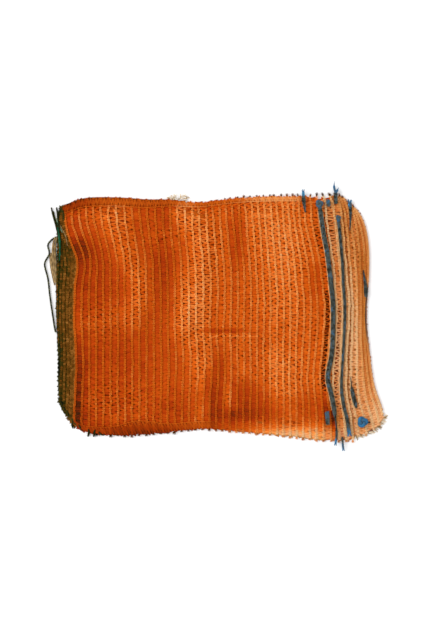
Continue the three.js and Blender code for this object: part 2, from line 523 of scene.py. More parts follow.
    def on_strip(self, s: Array, v: Array) -> Array:
        """Tells where the chains are on the strip and not cut off by the mouth's corners."""
        return ~self.past_cut(self.strip(s, v))

    def hem(self, s: Array, v: Array) -> Array:
        """Gives points of the layer that is turned in below the strip."""
        return self._sunk(self.strip(s, v), self.hem_drop)

    def resting(self, spots: Array) -> Array:
        """Gives the height of the bag at plan points, or of the floor beside it."""
        return np.nan_to_num(self.ground.height(spots), nan=0.0)


class Wire:
    """A shader socket that can be used in Python expressions on values."""

    def __init__(self, nodes: "Shading", socket: NodeSocket) -> None:
        """Keeps the socket and the material that it is in."""
        self.nodes = nodes
        self.socket = socket

    def _math(self, operation: str, first: Any, second: Any) -> "Wire":
        """Adds a Math node for an operation on two values."""
        node = self.nodes.add("ShaderNodeMath", {"operation": operation}, {0: first, 1: second})
        return self.nodes.out(node, "Value")

    def __add__(self, other: Any) -> "Wire":
        """Adds a value."""
        return self._math("ADD", self, other)

    def __radd__(self, other: Any) -> "Wire":
        """Is added to a value."""
        return self._math("ADD", other, self)

    def __sub__(self, other: Any) -> "Wire":
        """Takes a value away."""
        return self._math("SUBTRACT", self, other)

    def __rsub__(self, other: Any) -> "Wire":
        """Is taken away from a value."""
        return self._math("SUBTRACT", other, self)

    def __mul__(self, other: Any) -> "Wire":
        """Multiplies by a value."""
        return self._math("MULTIPLY", self, other)

    def __rmul__(self, other: Any) -> "Wire":
        """Multiplies a value."""
        return self._math("MULTIPLY", other, self)


class NodeTree:
    """A node tree that one method fills."""

    tree: bpy.types.NodeTree

    def add(self, kind: str, settings: dict[str, Any], inputs: dict[Any, Any]) -> Node:
        """Adds a node.

        Args:
            kind: The node's type.
            settings: Its properties, set first, with the stops of a ramp under "stops".
            inputs: Values, wires or sockets for its inputs, by name or number.

        Returns:
            The node.
        """
        node = self.tree.nodes.new(kind)
        for key, value in settings.items():
            if key == "stops":
                self._set_stops(node.color_ramp, value)
            else:
                setattr(node, key, value)
        for key, value in inputs.items():
            source = value.socket if isinstance(value, Wire) else value
            if isinstance(source, NodeSocket):
                self.tree.links.new(source, node.inputs[key])
            else:
                node.inputs[key].default_value = value
        return node

    @staticmethod
    def _set_stops(ramp: ColorRamp, stops: Sequence[tuple[float, Colour]]) -> None:
        """Sets the stops of a colour ramp.

        Args:
            ramp: The ramp.
            stops: The place and the colour of each stop.
        """
        while len(ramp.elements) < len(stops):
            ramp.elements.new(1.0)
        for element, (place, colour) in zip(ramp.elements, stops):
            element.position = place
            element.color = (*colour, 1.0)


class Shading(NodeTree):
    """The node tree of one material."""

    def __init__(self, name: str) -> None:
        """Starts a material with nothing in its tree.

        Args:
            name: The material's name.
        """
        self.material = bpy.data.materials.new(name)
        self.material.use_nodes = True
        self.tree = self.material.node_tree
        self.tree.nodes.clear()

    def out(self, node: Node, socket: str) -> Wire:
        """Wraps one of a node's outputs."""
        return Wire(self, node.outputs[socket])

    def attribute(self, name: str) -> Wire:
        """Reads a value that the surface carries."""
        return self.out(self.add("ShaderNodeAttribute", {"attribute_name": name}, {}), "Fac")

    def noise(self, place: Wire, scale: float, detail: float) -> Wire:
        """Adds noise over places."""
        inputs = {"Vector": place, "Scale": scale, "Detail": detail}
        return self.out(self.add("ShaderNodeTexNoise", {}, inputs), "Fac")

    def close(self, inputs: dict[str, Any]) -> Material:
        """Ends the tree in one surface.

        Args:
            inputs: The surface's inputs.

        Returns:
            The material.
        """
        surface = self.add("ShaderNodeBsdfPrincipled", {}, inputs)
        self.add("ShaderNodeOutputMaterial", {}, {"Surface": self.out(surface, "BSDF")})
        return self.material


@dataclass(frozen=True)
class YarnFinish:
    """Dyed polyethylene yarn or tape, from its deepest tone to its palest."""

    name: str
    shaded: Colour
    deep: Colour
    middle: Colour
    pale: Colour
    washed: Colour
    stops: tuple[float, ...] = (0.0, 0.2, 0.51, 0.82, 1.0)
    tone_start: float = 0.2
    tone_gain: float = 0.62
    roughness: float = 0.65
    roughness_spread: float = 0.2
    specular: float = 0.04
    fleck: float = 0.12
    fleck_scale: float = 900.0
    fleck_detail: float = 2.0
    streak_scale: float = 160.0
    streak_detail: float = 3.0
    bump: float = 0.25
    bump_depth: float = 0.0002
    # Painted shade: how much the middle crease of a tape is darkened, and how sharply.
    crease: float = 0.0
    crease_sharpness: float = 4.0

    def material(self) -> Material:
        """Makes the material: tone from the strand, with flecks, streaks, a fine grain and, on tapes, painted
        shade along the crease.

        Returns:
            The material.
        """
        nodes = Shading(self.name)
        place = nodes.out(nodes.add("ShaderNodeTexCoord", {}, {}), "Object")
        fleck = nodes.noise(place, self.fleck_scale, self.fleck_detail)
        streak = nodes.noise(place, self.streak_scale, self.streak_detail)
        shade = nodes.attribute("tone") + (fleck - 0.5) * (2.0 * self.fleck) + (streak - 0.5) * self.fleck
        # Painted shade along the middle crease of a tape, away from its edges.
        if self.crease:
            inner = {0: 1.0 - nodes.attribute("edge"), 1: self.crease_sharpness}
            fold = nodes.add("ShaderNodeMath", {"operation": "POWER"}, inner)
            shade = shade - nodes.out(fold, "Value") * self.crease
        dyes = (self.shaded, self.deep, self.middle, self.pale, self.washed)
        stops = {"stops": tuple(zip(self.stops, dyes))}
        ramp = nodes.add("ShaderNodeValToRGB", stops, {"Fac": shade * self.tone_gain + self.tone_start})
        relief = {"Strength": self.bump, "Distance": self.bump_depth, "Height": fleck}
        grain = nodes.add("ShaderNodeBump", {}, relief)
        return nodes.close(
            {
                "Base Color": nodes.out(ramp, "Color"),
                "Roughness": self.roughness + (streak - 0.5) * self.roughness_spread,
                "Specular IOR Level": self.specular,
                "Normal": nodes.out(grain, "Normal"),
            }
        )


@dataclass
class Strands:
    """Places, turns, sizes and tones of many copies of one small shape."""

    places: Array
    turns: Array
    sizes: Array
    tones: Array

    def only(self, kept: Array) -> "Strands":
        """Gives some of the strands."""
        return Strands(*(getattr(self, one.name)[kept] for one in fields(Strands)))

    @staticmethod
    def joined(sets: Sequence["Strands"]) -> "Strands":
        """Puts several sets into one."""
        names = [one.name for one in fields(Strands)]
        return Strands(*(np.concatenate([getattr(one, name) for one in sets]) for name in names))


@dataclass
class Yarn:
    """One thread: the points of its middle line, its half thickness and its tone at each."""

    points: Array
    girths: Array
    tones: Array


class GeometryTree(NodeTree):
    """A geometry node tree that makes one kind of repeated shape."""

    def __init__(self, name: str, inputs: Sequence[tuple[str, str]]) -> None:
        """Starts the tree.

        Args:
            name: The tree's name.
            inputs: The name and socket type of each input after the geometry.
        """
        self.tree = bpy.data.node_groups.new(name, "GeometryNodeTree")
        face = self.tree.interface
        face.new_socket("Geometry", in_out="INPUT", socket_type="NodeSocketGeometry")
        self.identifiers = {
            label: face.new_socket(label, in_out="INPUT", socket_type=kind).identifier
            for label, kind in inputs
        }
        face.new_socket("Geometry", in_out="OUTPUT", socket_type="NodeSocketGeometry")
        self.start = self.tree.nodes.new("NodeGroupInput")

    def given(self, label: str) -> NodeSocket:
        """Gives the socket of one of the tree's inputs."""
        return self.start.outputs[label]

    def named(self, attribute: str, kind: str) -> NodeSocket:
        """Reads an attribute of the points by its name."""
        node = self.add("GeometryNodeInputNamedAttribute", {"data_type": kind}, {"Name": attribute})
        return node.outputs["Attribute"]

    def close(self, shape: NodeSocket) -> None:
        """Ends the tree in real mesh with its finish.

        Args:
            shape: The geometry that the tree has made.
        """
        real = self.add("GeometryNodeRealizeInstances", {}, {"Geometry": shape})
        inputs = {"Geometry": real.outputs["Geometry"], "Material": self.given("Finish")}
        dressed = self.add("GeometryNodeSetMaterial", {}, inputs)
        self.add("NodeGroupOutput", {}, {0: dressed.outputs["Geometry"]})

    def apply(self, name: str, carrier: Mesh, values: dict[str, Any]) -> Object:
        """Runs the tree on a carrier mesh and keeps the result as a plain mesh.

        Args:
            name: The piece's name.
            carrier: The mesh of points or lines that the tree reads.
            values: The tree's inputs by their names.

        Returns:
            The finished object, with no modifier left on it.
        """
        piece = bpy.data.objects.new(name, carrier)
        bpy.context.scene.collection.objects.link(piece)
        maker = piece.modifiers.new("maker", "NODES")
        maker.node_group = self.tree
        for label, value in values.items():
            maker[self.identifiers[label]] = value
        graph = bpy.context.evaluated_depsgraph_get()
        shape = bpy.data.meshes.new_from_object(
            piece.evaluated_get(graph), preserve_all_data_layers=True, depsgraph=graph
        )
        piece.modifiers.clear()
        piece.data = shape
        bpy.data.meshes.remove(carrier)
        shape.name = name
        for spare in ("turn", "size", "girth"):
            if spare in shape.attributes:
                shape.attributes.remove(shape.attributes[spare])
        return piece


class Workshop:
    """The two trees that lay small shapes and sweep yarns."""

    def __init__(self) -> None:
        """Builds both trees."""
        self.layer = self._laying_tree()
        self.sweeper = self._sweeping_tree()

    @staticmethod
    def _laying_tree() -> GeometryTree:
        """Builds the tree that puts a shape on every point, with a small random roll.

        Returns:
            The tree.
        """
        made = GeometryTree(
            "Laid strands",
            (
                ("Shape", "NodeSocketObject"),
                ("Size gain", "NodeSocketFloat"),
                ("Roll spread", "NodeSocketFloat"),
                ("Seed", "NodeSocketInt"),
                ("Finish", "NodeSocketMaterial"),
            ),
        )
        shape = made.add("GeometryNodeObjectInfo", {}, {"Object": made.given("Shape"), "As Instance": True})
        least = made.add(
            "ShaderNodeMath", {"operation": "MULTIPLY"}, {0: made.given("Roll spread"), 1: -1.0}
        )
        roll = made.add(
            "FunctionNodeRandomValue",
            {"data_type": "FLOAT"},
            {2: least.outputs["Value"], 3: made.given("Roll spread"), "Seed": made.given("Seed")},
        )
        rolled = made.add(
            "FunctionNodeAxisAngleToRotation", {}, {"Axis": (1.0, 0.0, 0.0), "Angle": roll.outputs[1]}
        )
        turn = made.add("FunctionNodeEulerToRotation", {}, {"Euler": made.named("turn", "FLOAT_VECTOR")})
        both = made.add(
            "FunctionNodeRotateRotation",
            {"rotation_space": "LOCAL"},
            {"Rotation": turn.outputs["Rotation"], "Rotate By": rolled.outputs["Rotation"]},
        )
        size = made.add(
            "ShaderNodeVectorMath",
            {"operation": "SCALE"},
            {0: made.named("size", "FLOAT_VECTOR"), "Scale": made.given("Size gain")},
        )
        laid = made.add(
            "GeometryNodeInstanceOnPoints",
            {},
            {
                "Points": made.given("Geometry"),
                "Instance": shape.outputs["Geometry"],
                "Rotation": both.outputs["Rotation"],
                "Scale": size.outputs["Vector"],
            },
        )
        made.close(laid.outputs["Instances"])
        return made

    @staticmethod
    def _sweeping_tree() -> GeometryTree:
        """Builds the tree that turns lines into round yarns.

        Returns:
            The tree.
        """
        made = GeometryTree(
            "Swept yarns",
            (
                ("Sides", "NodeSocketInt"),
                ("Thickness gain", "NodeSocketFloat"),
                ("Finish", "NodeSocketMaterial"),
            ),
        )
        line = made.add("GeometryNodeMeshToCurve", {}, {"Mesh": made.given("Geometry")})
        ring = made.add(
            "GeometryNodeCurvePrimitiveCircle",
            {"mode": "RADIUS"},
            {"Resolution": made.given("Sides"), "Radius": made.given("Thickness gain")},
        )
        swept = made.add(
            "GeometryNodeCurveToMesh",
            {},
            {
                "Curve": line.outputs["Curve"],
                "Profile Curve": ring.outputs["Curve"],
                "Scale": made.named("girth", "FLOAT"),
                "Fill Caps": True,
            },
        )
        made.close(swept.outputs["Mesh"])
        return made

    def lay(self, name: str, shape: Mesh, strands: Strands, finish: Material, roll: float = 0.0) -> Object:
        """Lays copies of a small shape.

        Args:
            name: The piece's name.
            shape: The small shape, of unit size.
            strands: Where the copies go.
            finish: Their material.
            roll: The most that a copy turns about its own X axis, in radians.

        Returns:
            The piece.
        """
        values = {"turn": strands.turns, "size": strands.sizes, "tone": strands.tones}
        carrier = self._carrier(name, strands.places, [], values)
        pattern = bpy.data.objects.new(name + "_shape", shape)
        bpy.context.scene.collection.objects.link(pattern)
        inputs = {"Shape": pattern, "Size gain": 1.0, "Roll spread": roll, "Seed": SEED, "Finish": finish}
        piece = self.layer.apply(name, carrier, inputs)
        bpy.data.objects.remove(pattern)
        return piece

    def sweep(self, name: str, yarns: Sequence[Yarn], finish: Material, sides: int = 6) -> Object:
        """Sweeps round yarns along their lines.

        Args:
            name: The piece's name.
            yarns: The yarns.
            finish: Their material.
            sides: How many sides a yarn's section has.

        Returns:
            The piece.
        """
        ends = set(np.cumsum([len(yarn.points) for yarn in yarns]) - 1)
        edges = [(i, i + 1) for i in range(max(ends)) if i not in ends]
        points, girths, tones = (
            np.concatenate([getattr(yarn, one.name) for yarn in yarns]) for one in fields(Yarn)
        )
        carrier = self._carrier(name, points, edges, {"girth": girths, "tone": tones})
        inputs = {"Sides": sides, "Thickness gain": 1.0, "Finish": finish}
        return self.sweeper.apply(name, carrier, inputs)

    @staticmethod
    def _carrier(
        name: str, points: Array, edges: Sequence[tuple[int, int]], values: dict[str, Array]
    ) -> Mesh:
        """Makes a mesh of points or lines that carries values for a tree.

        Args:
            name: The mesh's name.
            points: Its points.
            edges: Its lines.
            values: Numbers or vectors for the points, by the names of their attributes.

        Returns:
            The mesh.
        """
        mesh = bpy.data.meshes.new(name)
        mesh.from_pydata(points.tolist(), edges, [])
        for label, numbers in values.items():
            kind, key = ("FLOAT_VECTOR", "vector") if numbers.ndim > 1 else ("FLOAT", "value")
            layer = mesh.attributes.new(label, kind, "POINT")
            layer.data.foreach_set(key, np.ascontiguousarray(numbers, dtype=np.float32).ravel())
        return mesh


@dataclass(frozen=True)
class SmallShapes:
    """The unit shapes that the net repeats: a loop of a chain, a tape and a cut end."""

    leg_sides: int = 4
    leg_rows: tuple[tuple[float, float, float, float], ...] = (
        (-0.55, 0.05, -0.12, 0.0),
        (-0.25, 0.20, 0.06, 0.20),
        (0.15, 0.29, 0.16, 0.24),
        (0.50, 0.20, 0.04, 0.20),
        (0.78, 0.04, -0.16, 0.0),
    )
    tape_rows: tuple[Triple, ...] = (
        (-0.56, 0.66, 0.0),
        (-0.28, 0.56, 0.12),
        (-0.10, 0.50, -0.10),
        (0.10, 0.50, 0.12),
        (0.28, 0.56, -0.12),
        (0.56, 0.66, 0.0),
    )
    fibre_leans: tuple[Triple, ...] = (
        (-0.42, 0.80, 0.10), (-0.16, 1.0, 0.26), (0.10, 0.90, -0.06), (0.34, 0.96, 0.16), (0.50, 0.66, 0.0),
    )
    fibre_root: Pair = (0.2, -0.20)
    fibre_girth: float = 0.13
    fibre_rows: tuple[tuple[float, float, float, float], ...] = (
        (0.4, 0.12, 0.3, 1.0), (0.8, 0.65, 0.8, 0.8), (1.0, 1.0, 1.0, 0.0),
    )

    def loop(self) -> Mesh:
        """Makes one stitch of a chain: two legs that meet below and tuck under the next stitch.

        Returns:
            The mesh, with X across, Y along the chain and Z up.
        """
        shape = bmesh.new()
        for side in (-1.0, 1.0):
            rows = [(side * across, along, up, girth) for along, across, up, girth in self.leg_rows]
            self._spindle(shape, rows, self.leg_sides)
        return self._closed(shape, "loop")

    def tape(self) -> Mesh:
        """Makes one flat tape with a creased back, narrowest halfway between two chains.

        Returns:
            The mesh, with X along the tape, Y across it and Z up.
        """
        shape = bmesh.new()
        edge = shape.verts.layers.float.new("edge")
        rings = []
        for along, half, crease in self.tape_rows:
            section = ((-half, 0.0), (crease, -0.5), (half, 0.0), (crease, 0.5))
            rings.append([shape.verts.new((along, y, z)) for y, z in section])
            for vertex in rings[-1][::2]:
                vertex[edge] = 1.0
        for first, second in zip(rings, rings[1:]):
            for i in range(4):
                j = (i + 1) % 4
                shape.faces.new((first[i], first[j], second[j], second[i]))
        shape.faces.new(rings[0])
        shape.faces.new(rings[-1])
        return self._closed(shape, "tape")

    def cut_end(self) -> Mesh:
        """Makes the frayed end of a cut chain: a few short fibres that lean apart.

        Returns:
            The mesh, with Y along the chain, outwards.
        """
        shape = bmesh.new()
        for lean, reach, lift in self.fibre_leans:
            rows = [(lean * self.fibre_root[0], self.fibre_root[1], 0.0, 0.0)]
            for a, b, c, girth in self.fibre_rows:
                rows.append((lean * a, reach * b, lift * c, self.fibre_girth * girth))
            self._spindle(shape, rows, self.leg_sides)
        return self._closed(shape, "cut end")

    @staticmethod
    def _spindle(shape: bmesh.types.BMesh, rows: Sequence[tuple[float, ...]], sides: int) -> None:
        """Adds a closed strand that runs to a point at both ends.

        Args:
            shape: The mesh to add to.
            rows: X, Y and Z of the middle line and its girth, from tip to tip.
            sides: How many sides its section has.
        """
        rings = []
        for x, y, z, girth in rows[1:-1]:
            angles = [TURN * (i + 0.5) / sides for i in range(sides)]
            rings.append(
                [shape.verts.new((x + girth * math.cos(a), y, z + girth * math.sin(a))) for a in angles]
            )
        tips = [shape.verts.new(row[:3]) for row in (rows[0], rows[-1])]
        for i in range(sides):
            j = (i + 1) % sides
            shape.faces.new((tips[0], rings[0][i], rings[0][j]))
            shape.faces.new((tips[1], rings[-1][j], rings[-1][i]))
            for first, second in zip(rings, rings[1:]):
                shape.faces.new((first[i], second[i], second[j], first[j]))

    @staticmethod
    def _closed(shape: bmesh.types.BMesh, name: str) -> Mesh:
        """Turns the faces outwards, smooths them and makes a mesh.

        Args:
            shape: The finished shape, which is freed.
            name: The mesh's name.

        Returns:
            The mesh.
        """
        bmesh.ops.recalc_face_normals(shape, faces=shape.faces)
        for face in shape.faces:
            face.smooth = True
        mesh = bpy.data.meshes.new(name)
        shape.to_mesh(mesh)
        shape.free()
        return mesh


@dataclass(frozen=True)
class Knit:
    """Sizes of the knit."""

    chain_pitch: float = 0.0081
    crowding: float = 0.07
    rung_pitch: float = 0.0030
    loop_pitch: float = 0.0030
    panel_width: float = 0.300
    chain_width: float = 0.0028
    chain_variation: Pair = (0.9, 1.12)
    tape_width: float = 0.0042
    width_variation: Pair = (0.86, 1.16)
    tape_thickness: float = 0.0006
    thickness_variation: Pair = (0.7, 1.3)
    tape_drop: float = 0.0007
    tape_clearance: float = 0.7
    wander: float = 0.0005
    wander_waves: tuple[float, ...] = (3.0, 7.0, 13.0)
    wander_gains: Pair = (0.4, 1.0)
    row_shift: float = 0.16
    row_sway: float = 0.22
    sway_step: float = 0.23
    zigzag: float = 0.36
    unevenness: float = 0.18
    seam_fade: Pair = (0.005, 0.014)
    bare_fade: float = 0.35
    end_inset: float = 0.004
    end_widths: Pair = (0.8, 1.2)
    end_lengths: Pair = (0.6, 1.3)
    end_flatness: float = 0.7
    least_rung: float = 0.0025
    samples: int = 201
    surface_step: float = 0.004

    @property
    def rungs(self) -> int:
        """Tapes in each gap between two chains."""
        return round(self.panel_width / self.rung_pitch)

    @property
    def loops(self) -> int:
        """Stitches in each chain."""
        return round(self.panel_width / self.loop_pitch)


@dataclass
class NetPanel:
    """A stretch of knit: chains at shares along a surface, and the tapes between them."""

    surface: Surface
    chains: Array
    knit: Knit
    tone: Reading
    openness: Reading
    seed: int
    rung_phase: float = 0.0
    chain_gain: Pair = (0.23, 0.43)
    tape_gain: Pair = (0.0, 0.14)
    loop_spread: Pair = (0.05, 0.12)
    loop_drift: float = 0.14
    column_spread: float = 0.04
    tape_spread: Pair = (0.05, 0.16)
    tape_widening: Pair = (1.35, 0.56)
    least_widening: float = 0.26
    tape_rounding: float = 0.8
    pull_gain: Pair = (0.5, 1.5)
    last_chain: bool = True
    chain_tone: Reading | None = None
    on_bag: Surface | None = None
    bare: Reading | None = None
    trimmed: bool = False
    upright: float = 0.0
    sideways: Triple = (TINY, 0.0, 0.0)
    draws: np.random.Generator = field(init=False)
    across: Array = field(init=False)
    lines: list[Array] = field(init=False)
    normals: list[Array] = field(init=False)
    starts: list[float] = field(init=False)
    stops: list[float] = field(init=False)

    def __post_init__(self) -> None:
        """Draws the middle line of every chain."""
        self.draws = np.random.default_rng(self.seed)
        v = np.linspace(0.0, 1.0, self.knit.samples)
        step = self.knit.surface_step
        self.across = v
        self.lines, self.normals, self.starts, self.stops = [], [], [], []
        for share in self.chains:
            s = np.full_like(v, share)
            line = self.surface(s, v)
            over = unit(self.surface(s + step, v) - self.surface(s - step, v) + self.sideways)
            line = line + over * self._wander(v, self.openness(line))[:, None]
            normal = unit(np.cross(over, unit(np.gradient(line, axis=0))))
            kept = v if self.on_bag is None else v[self.on_bag(s, v)]
            self.lines.append(line)
            self.normals.append(unit(normal + UP * self.upright))
            self.starts.append(float(kept[0]))
            self.stops.append(float(kept[-1]))

    def _wander(self, v: Array, openness: Array) -> Array:
        """Draws how far one chain strays sideways: the rungs of open knit pull it to and fro.

        Args:
            v: Shares across the bag.
            openness: How open the knit is there.

        Returns:
            The stray at each share.
        """
        stray = np.zeros_like(v)
        for waves in self.knit.wander_waves:
            phase, gain = self.draws.uniform(0.0, TURN), self.draws.uniform(*self.knit.wander_gains)
            stray += gain * np.sin(TURN * waves * v + phase) / math.sqrt(waves)
        pull = self.draws.uniform(-1.0, 1.0, self.knit.rungs + 2)
        pull = np.interp(v * self.knit.rungs, np.arange(len(pull)), pull)
        return (stray + self._mixed(self.pull_gain, openness) * pull) * self.knit.wander

    def _read(self, line: Array, shares: Array) -> Array:
        """Reads a line at shares across the bag."""
        return np.stack([np.interp(shares, self.across, line[:, axis]) for axis in range(3)], axis=-1)

    def loops(self) -> Strands:
        """Places the stitches of every chain.

        Returns:
            The stitches.
        """
        sets = []
        knit = self.knit
        tone = self.chain_tone or self.tone
        every = (np.arange(knit.loops) + 0.5) / knit.loops
        kept = len(self.lines) if self.last_chain else len(self.lines) - 1
        for line, normal, start, stop in zip(self.lines[:kept], self.normals, self.starts, self.stops):
            shares = every[(every > start) & (every < stop)]
            if self.trimmed:
                shares = shares[~self.bare(self._read(line, shares))]
            count = len(shares)
            places = self._read(line, shares)
            run = self._read(np.gradient(line, self.across, axis=0), shares)
            girth = knit.chain_width * self.draws.uniform(*knit.chain_variation, count)
            sizes = np.stack((girth, np.linalg.norm(run, axis=-1) / knit.loops, girth), axis=-1)
            from_end = np.minimum(shares - start, stop - shares) * knit.panel_width
            openness = self.openness(places)
            fade = smoothstep(from_end, *knit.seam_fade)
            if self.bare is not None:
                fade = np.where(self.bare(places), knit.bare_fade, fade)
            gain = self._mixed(self.chain_gain, openness) * fade
            gain += self.loop_drift * blurred(self.draws.uniform(-1.0, 1.0, count), 2)
            tones = tone(places) + gain + self._spread(openness, self.loop_spread)
            turns = turned(unit(run), unit(self._read(normal, shares)))
            sets.append(Strands(places, turns, sizes, tones))
        return Strands.joined(sets)

    def tapes(self) -> Strands:
        """Places the tapes across every gap between neighbouring chains.

        Returns:
            The tapes.
        """
        sets = []
        knit = self.knit
        rows = np.arange(-1, knit.rungs + 1)
        row_shift = 0.0
        for k in range(len(self.lines) - 1):
            row_shift += self.draws.normal(0.0, knit.row_shift)
            sway = knit.row_sway * np.sin(rows * knit.sway_step + self.draws.uniform(0.0, TURN))
            jitter = knit.unevenness * self.draws.uniform(-1.0, 1.0, len(rows)) + sway
            jitter += row_shift - round(row_shift)
            shares = (rows + 0.5 * (1.0 + self.rung_phase) + jitter) / knit.rungs
            slant = np.where(rows % 2, 1.0, -1.0) + 0.5 * self.draws.normal(0.0, 1.0, len(rows))
            slant *= knit.zigzag / knit.rungs
            start = self._read(self.lines[k], np.clip(shares - slant, 0.0, 1.0))
            end = self._read(self.lines[k + 1], np.clip(shares + slant, 0.0, 1.0))
            kept = np.linalg.norm(end - start, axis=-1) > knit.least_rung
            kept &= (shares > knit.end_inset) & (shares < 1 - knit.end_inset)
            if self.bare is not None:
                kept &= ~self.bare((start + end) / 2.0)
            shares, start, end = shares[kept], start[kept], end[kept]
            normal = unit(self._read(self.normals[k], shares) + self._read(self.normals[k + 1], shares))
            across = unit(end - start)
            along = unit(np.cross(normal, across))
            places = (start + end) / 2.0 - np.cross(across, along) * knit.tape_drop
            openness = self.openness(places)
            shut, wide = self.tape_widening
            widening = np.maximum(shut + (wide - shut) * openness, self.least_widening)
            width = knit.tape_width * widening * self.draws.uniform(*knit.width_variation, len(shares))
            width = np.minimum(width, 2.0 * np.minimum(shares, 1 - shares) * knit.panel_width)
            # A steep tape lies flatter where its edge would go below the floor.
            dip = knit.tape_clearance * width * np.abs(along[:, 2]) + TINY
            along[:, 2] *= np.minimum(1.0, places[:, 2] / dip)
            up = unit(np.cross(across, along))
            thick = knit.tape_thickness * self.draws.uniform(*knit.thickness_variation, len(shares))
            thick *= 1 + self.tape_rounding * openness
            gain = self._mixed(self.tape_gain, openness) + self.draws.normal(0.0, self.column_spread)
            tones = self.tone(places) + gain + self._spread(openness, self.tape_spread)
            sizes = np.stack((np.linalg.norm(end - start, axis=-1), width, thick), axis=-1)
            sets.append(Strands(places, angles_of(across, np.cross(up, across), up), sizes, tones))
        return Strands.joined(sets)

    def cut_ends(self, reach: Reading, spread: Reading, tone: Reading) -> Strands:
        """Places a frayed end at both ends of every chain.

        Args:
            reach: Tells how far an end stands out at a place.
            spread: Tells how wide its fibres lean apart.
            tone: Tells its tone.

        Returns:
            The cut ends.
        """
        tips, inner, up = [], [], []
        for line, normal, start, stop in zip(self.lines, self.normals, self.starts, self.stops):
            first, last = np.searchsorted(self.across, (start, stop))
            for tip, beside in ((first, first + 1), (last, last - 1)):
                tips.append(line[tip])
                inner.append(line[beside])
                up.append(normal[tip])
        places = np.array(tips)
        count = len(places)
        width = spread(places) * self.draws.uniform(*self.knit.end_widths, count)
        length = reach(places) * self.draws.uniform(*self.knit.end_lengths, count)
        sizes = np.stack((width, length, self.knit.end_flatness * width), axis=-1)
        tones = tone(places) + self._spread(np.ones(count), self.tape_spread)
        return Strands(places, turned(unit(places - np.array(inner)), np.array(up)), sizes, tones)

    @staticmethod
    def _mixed(ends: Pair, openness: Array) -> Array:
        """Mixes a value for shut knit with one for open knit."""
        return np.interp(openness, (0.0, 1.0), ends)

    def _spread(self, openness: Array, ends: Pair) -> Array:
        """Draws differences of tone between bounds for shut and for open knit."""
        return self.draws.uniform(-1.0, 1.0, len(openness)) * self._mixed(ends, openness)


def dress(piece: Object, slot: Slot, nodes: Sequence[str] = ()) -> Object:
    """Ties a piece to the bag's body, hides the solids that it stands for and logs its material slot.

    Args:
        piece: The finished piece.
        slot: The record's slot for its finish.
        nodes: The solids that it replaces.

    Returns:
        The piece.
    """
    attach(piece, BODY)
    if nodes:
        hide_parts(*nodes)
    piece.data.calc_loop_triangles()
    log.info("%s: %d triangles, slot %s", piece.name, len(piece.data.loop_triangles), slot.value)
    return piece


@dataclass(frozen=True)
class Ladder:
    """A column of open, shaded cells that runs beside a string."""

    string: int
    gap: float
    reach: float
    stretch: Pair
    depth: float


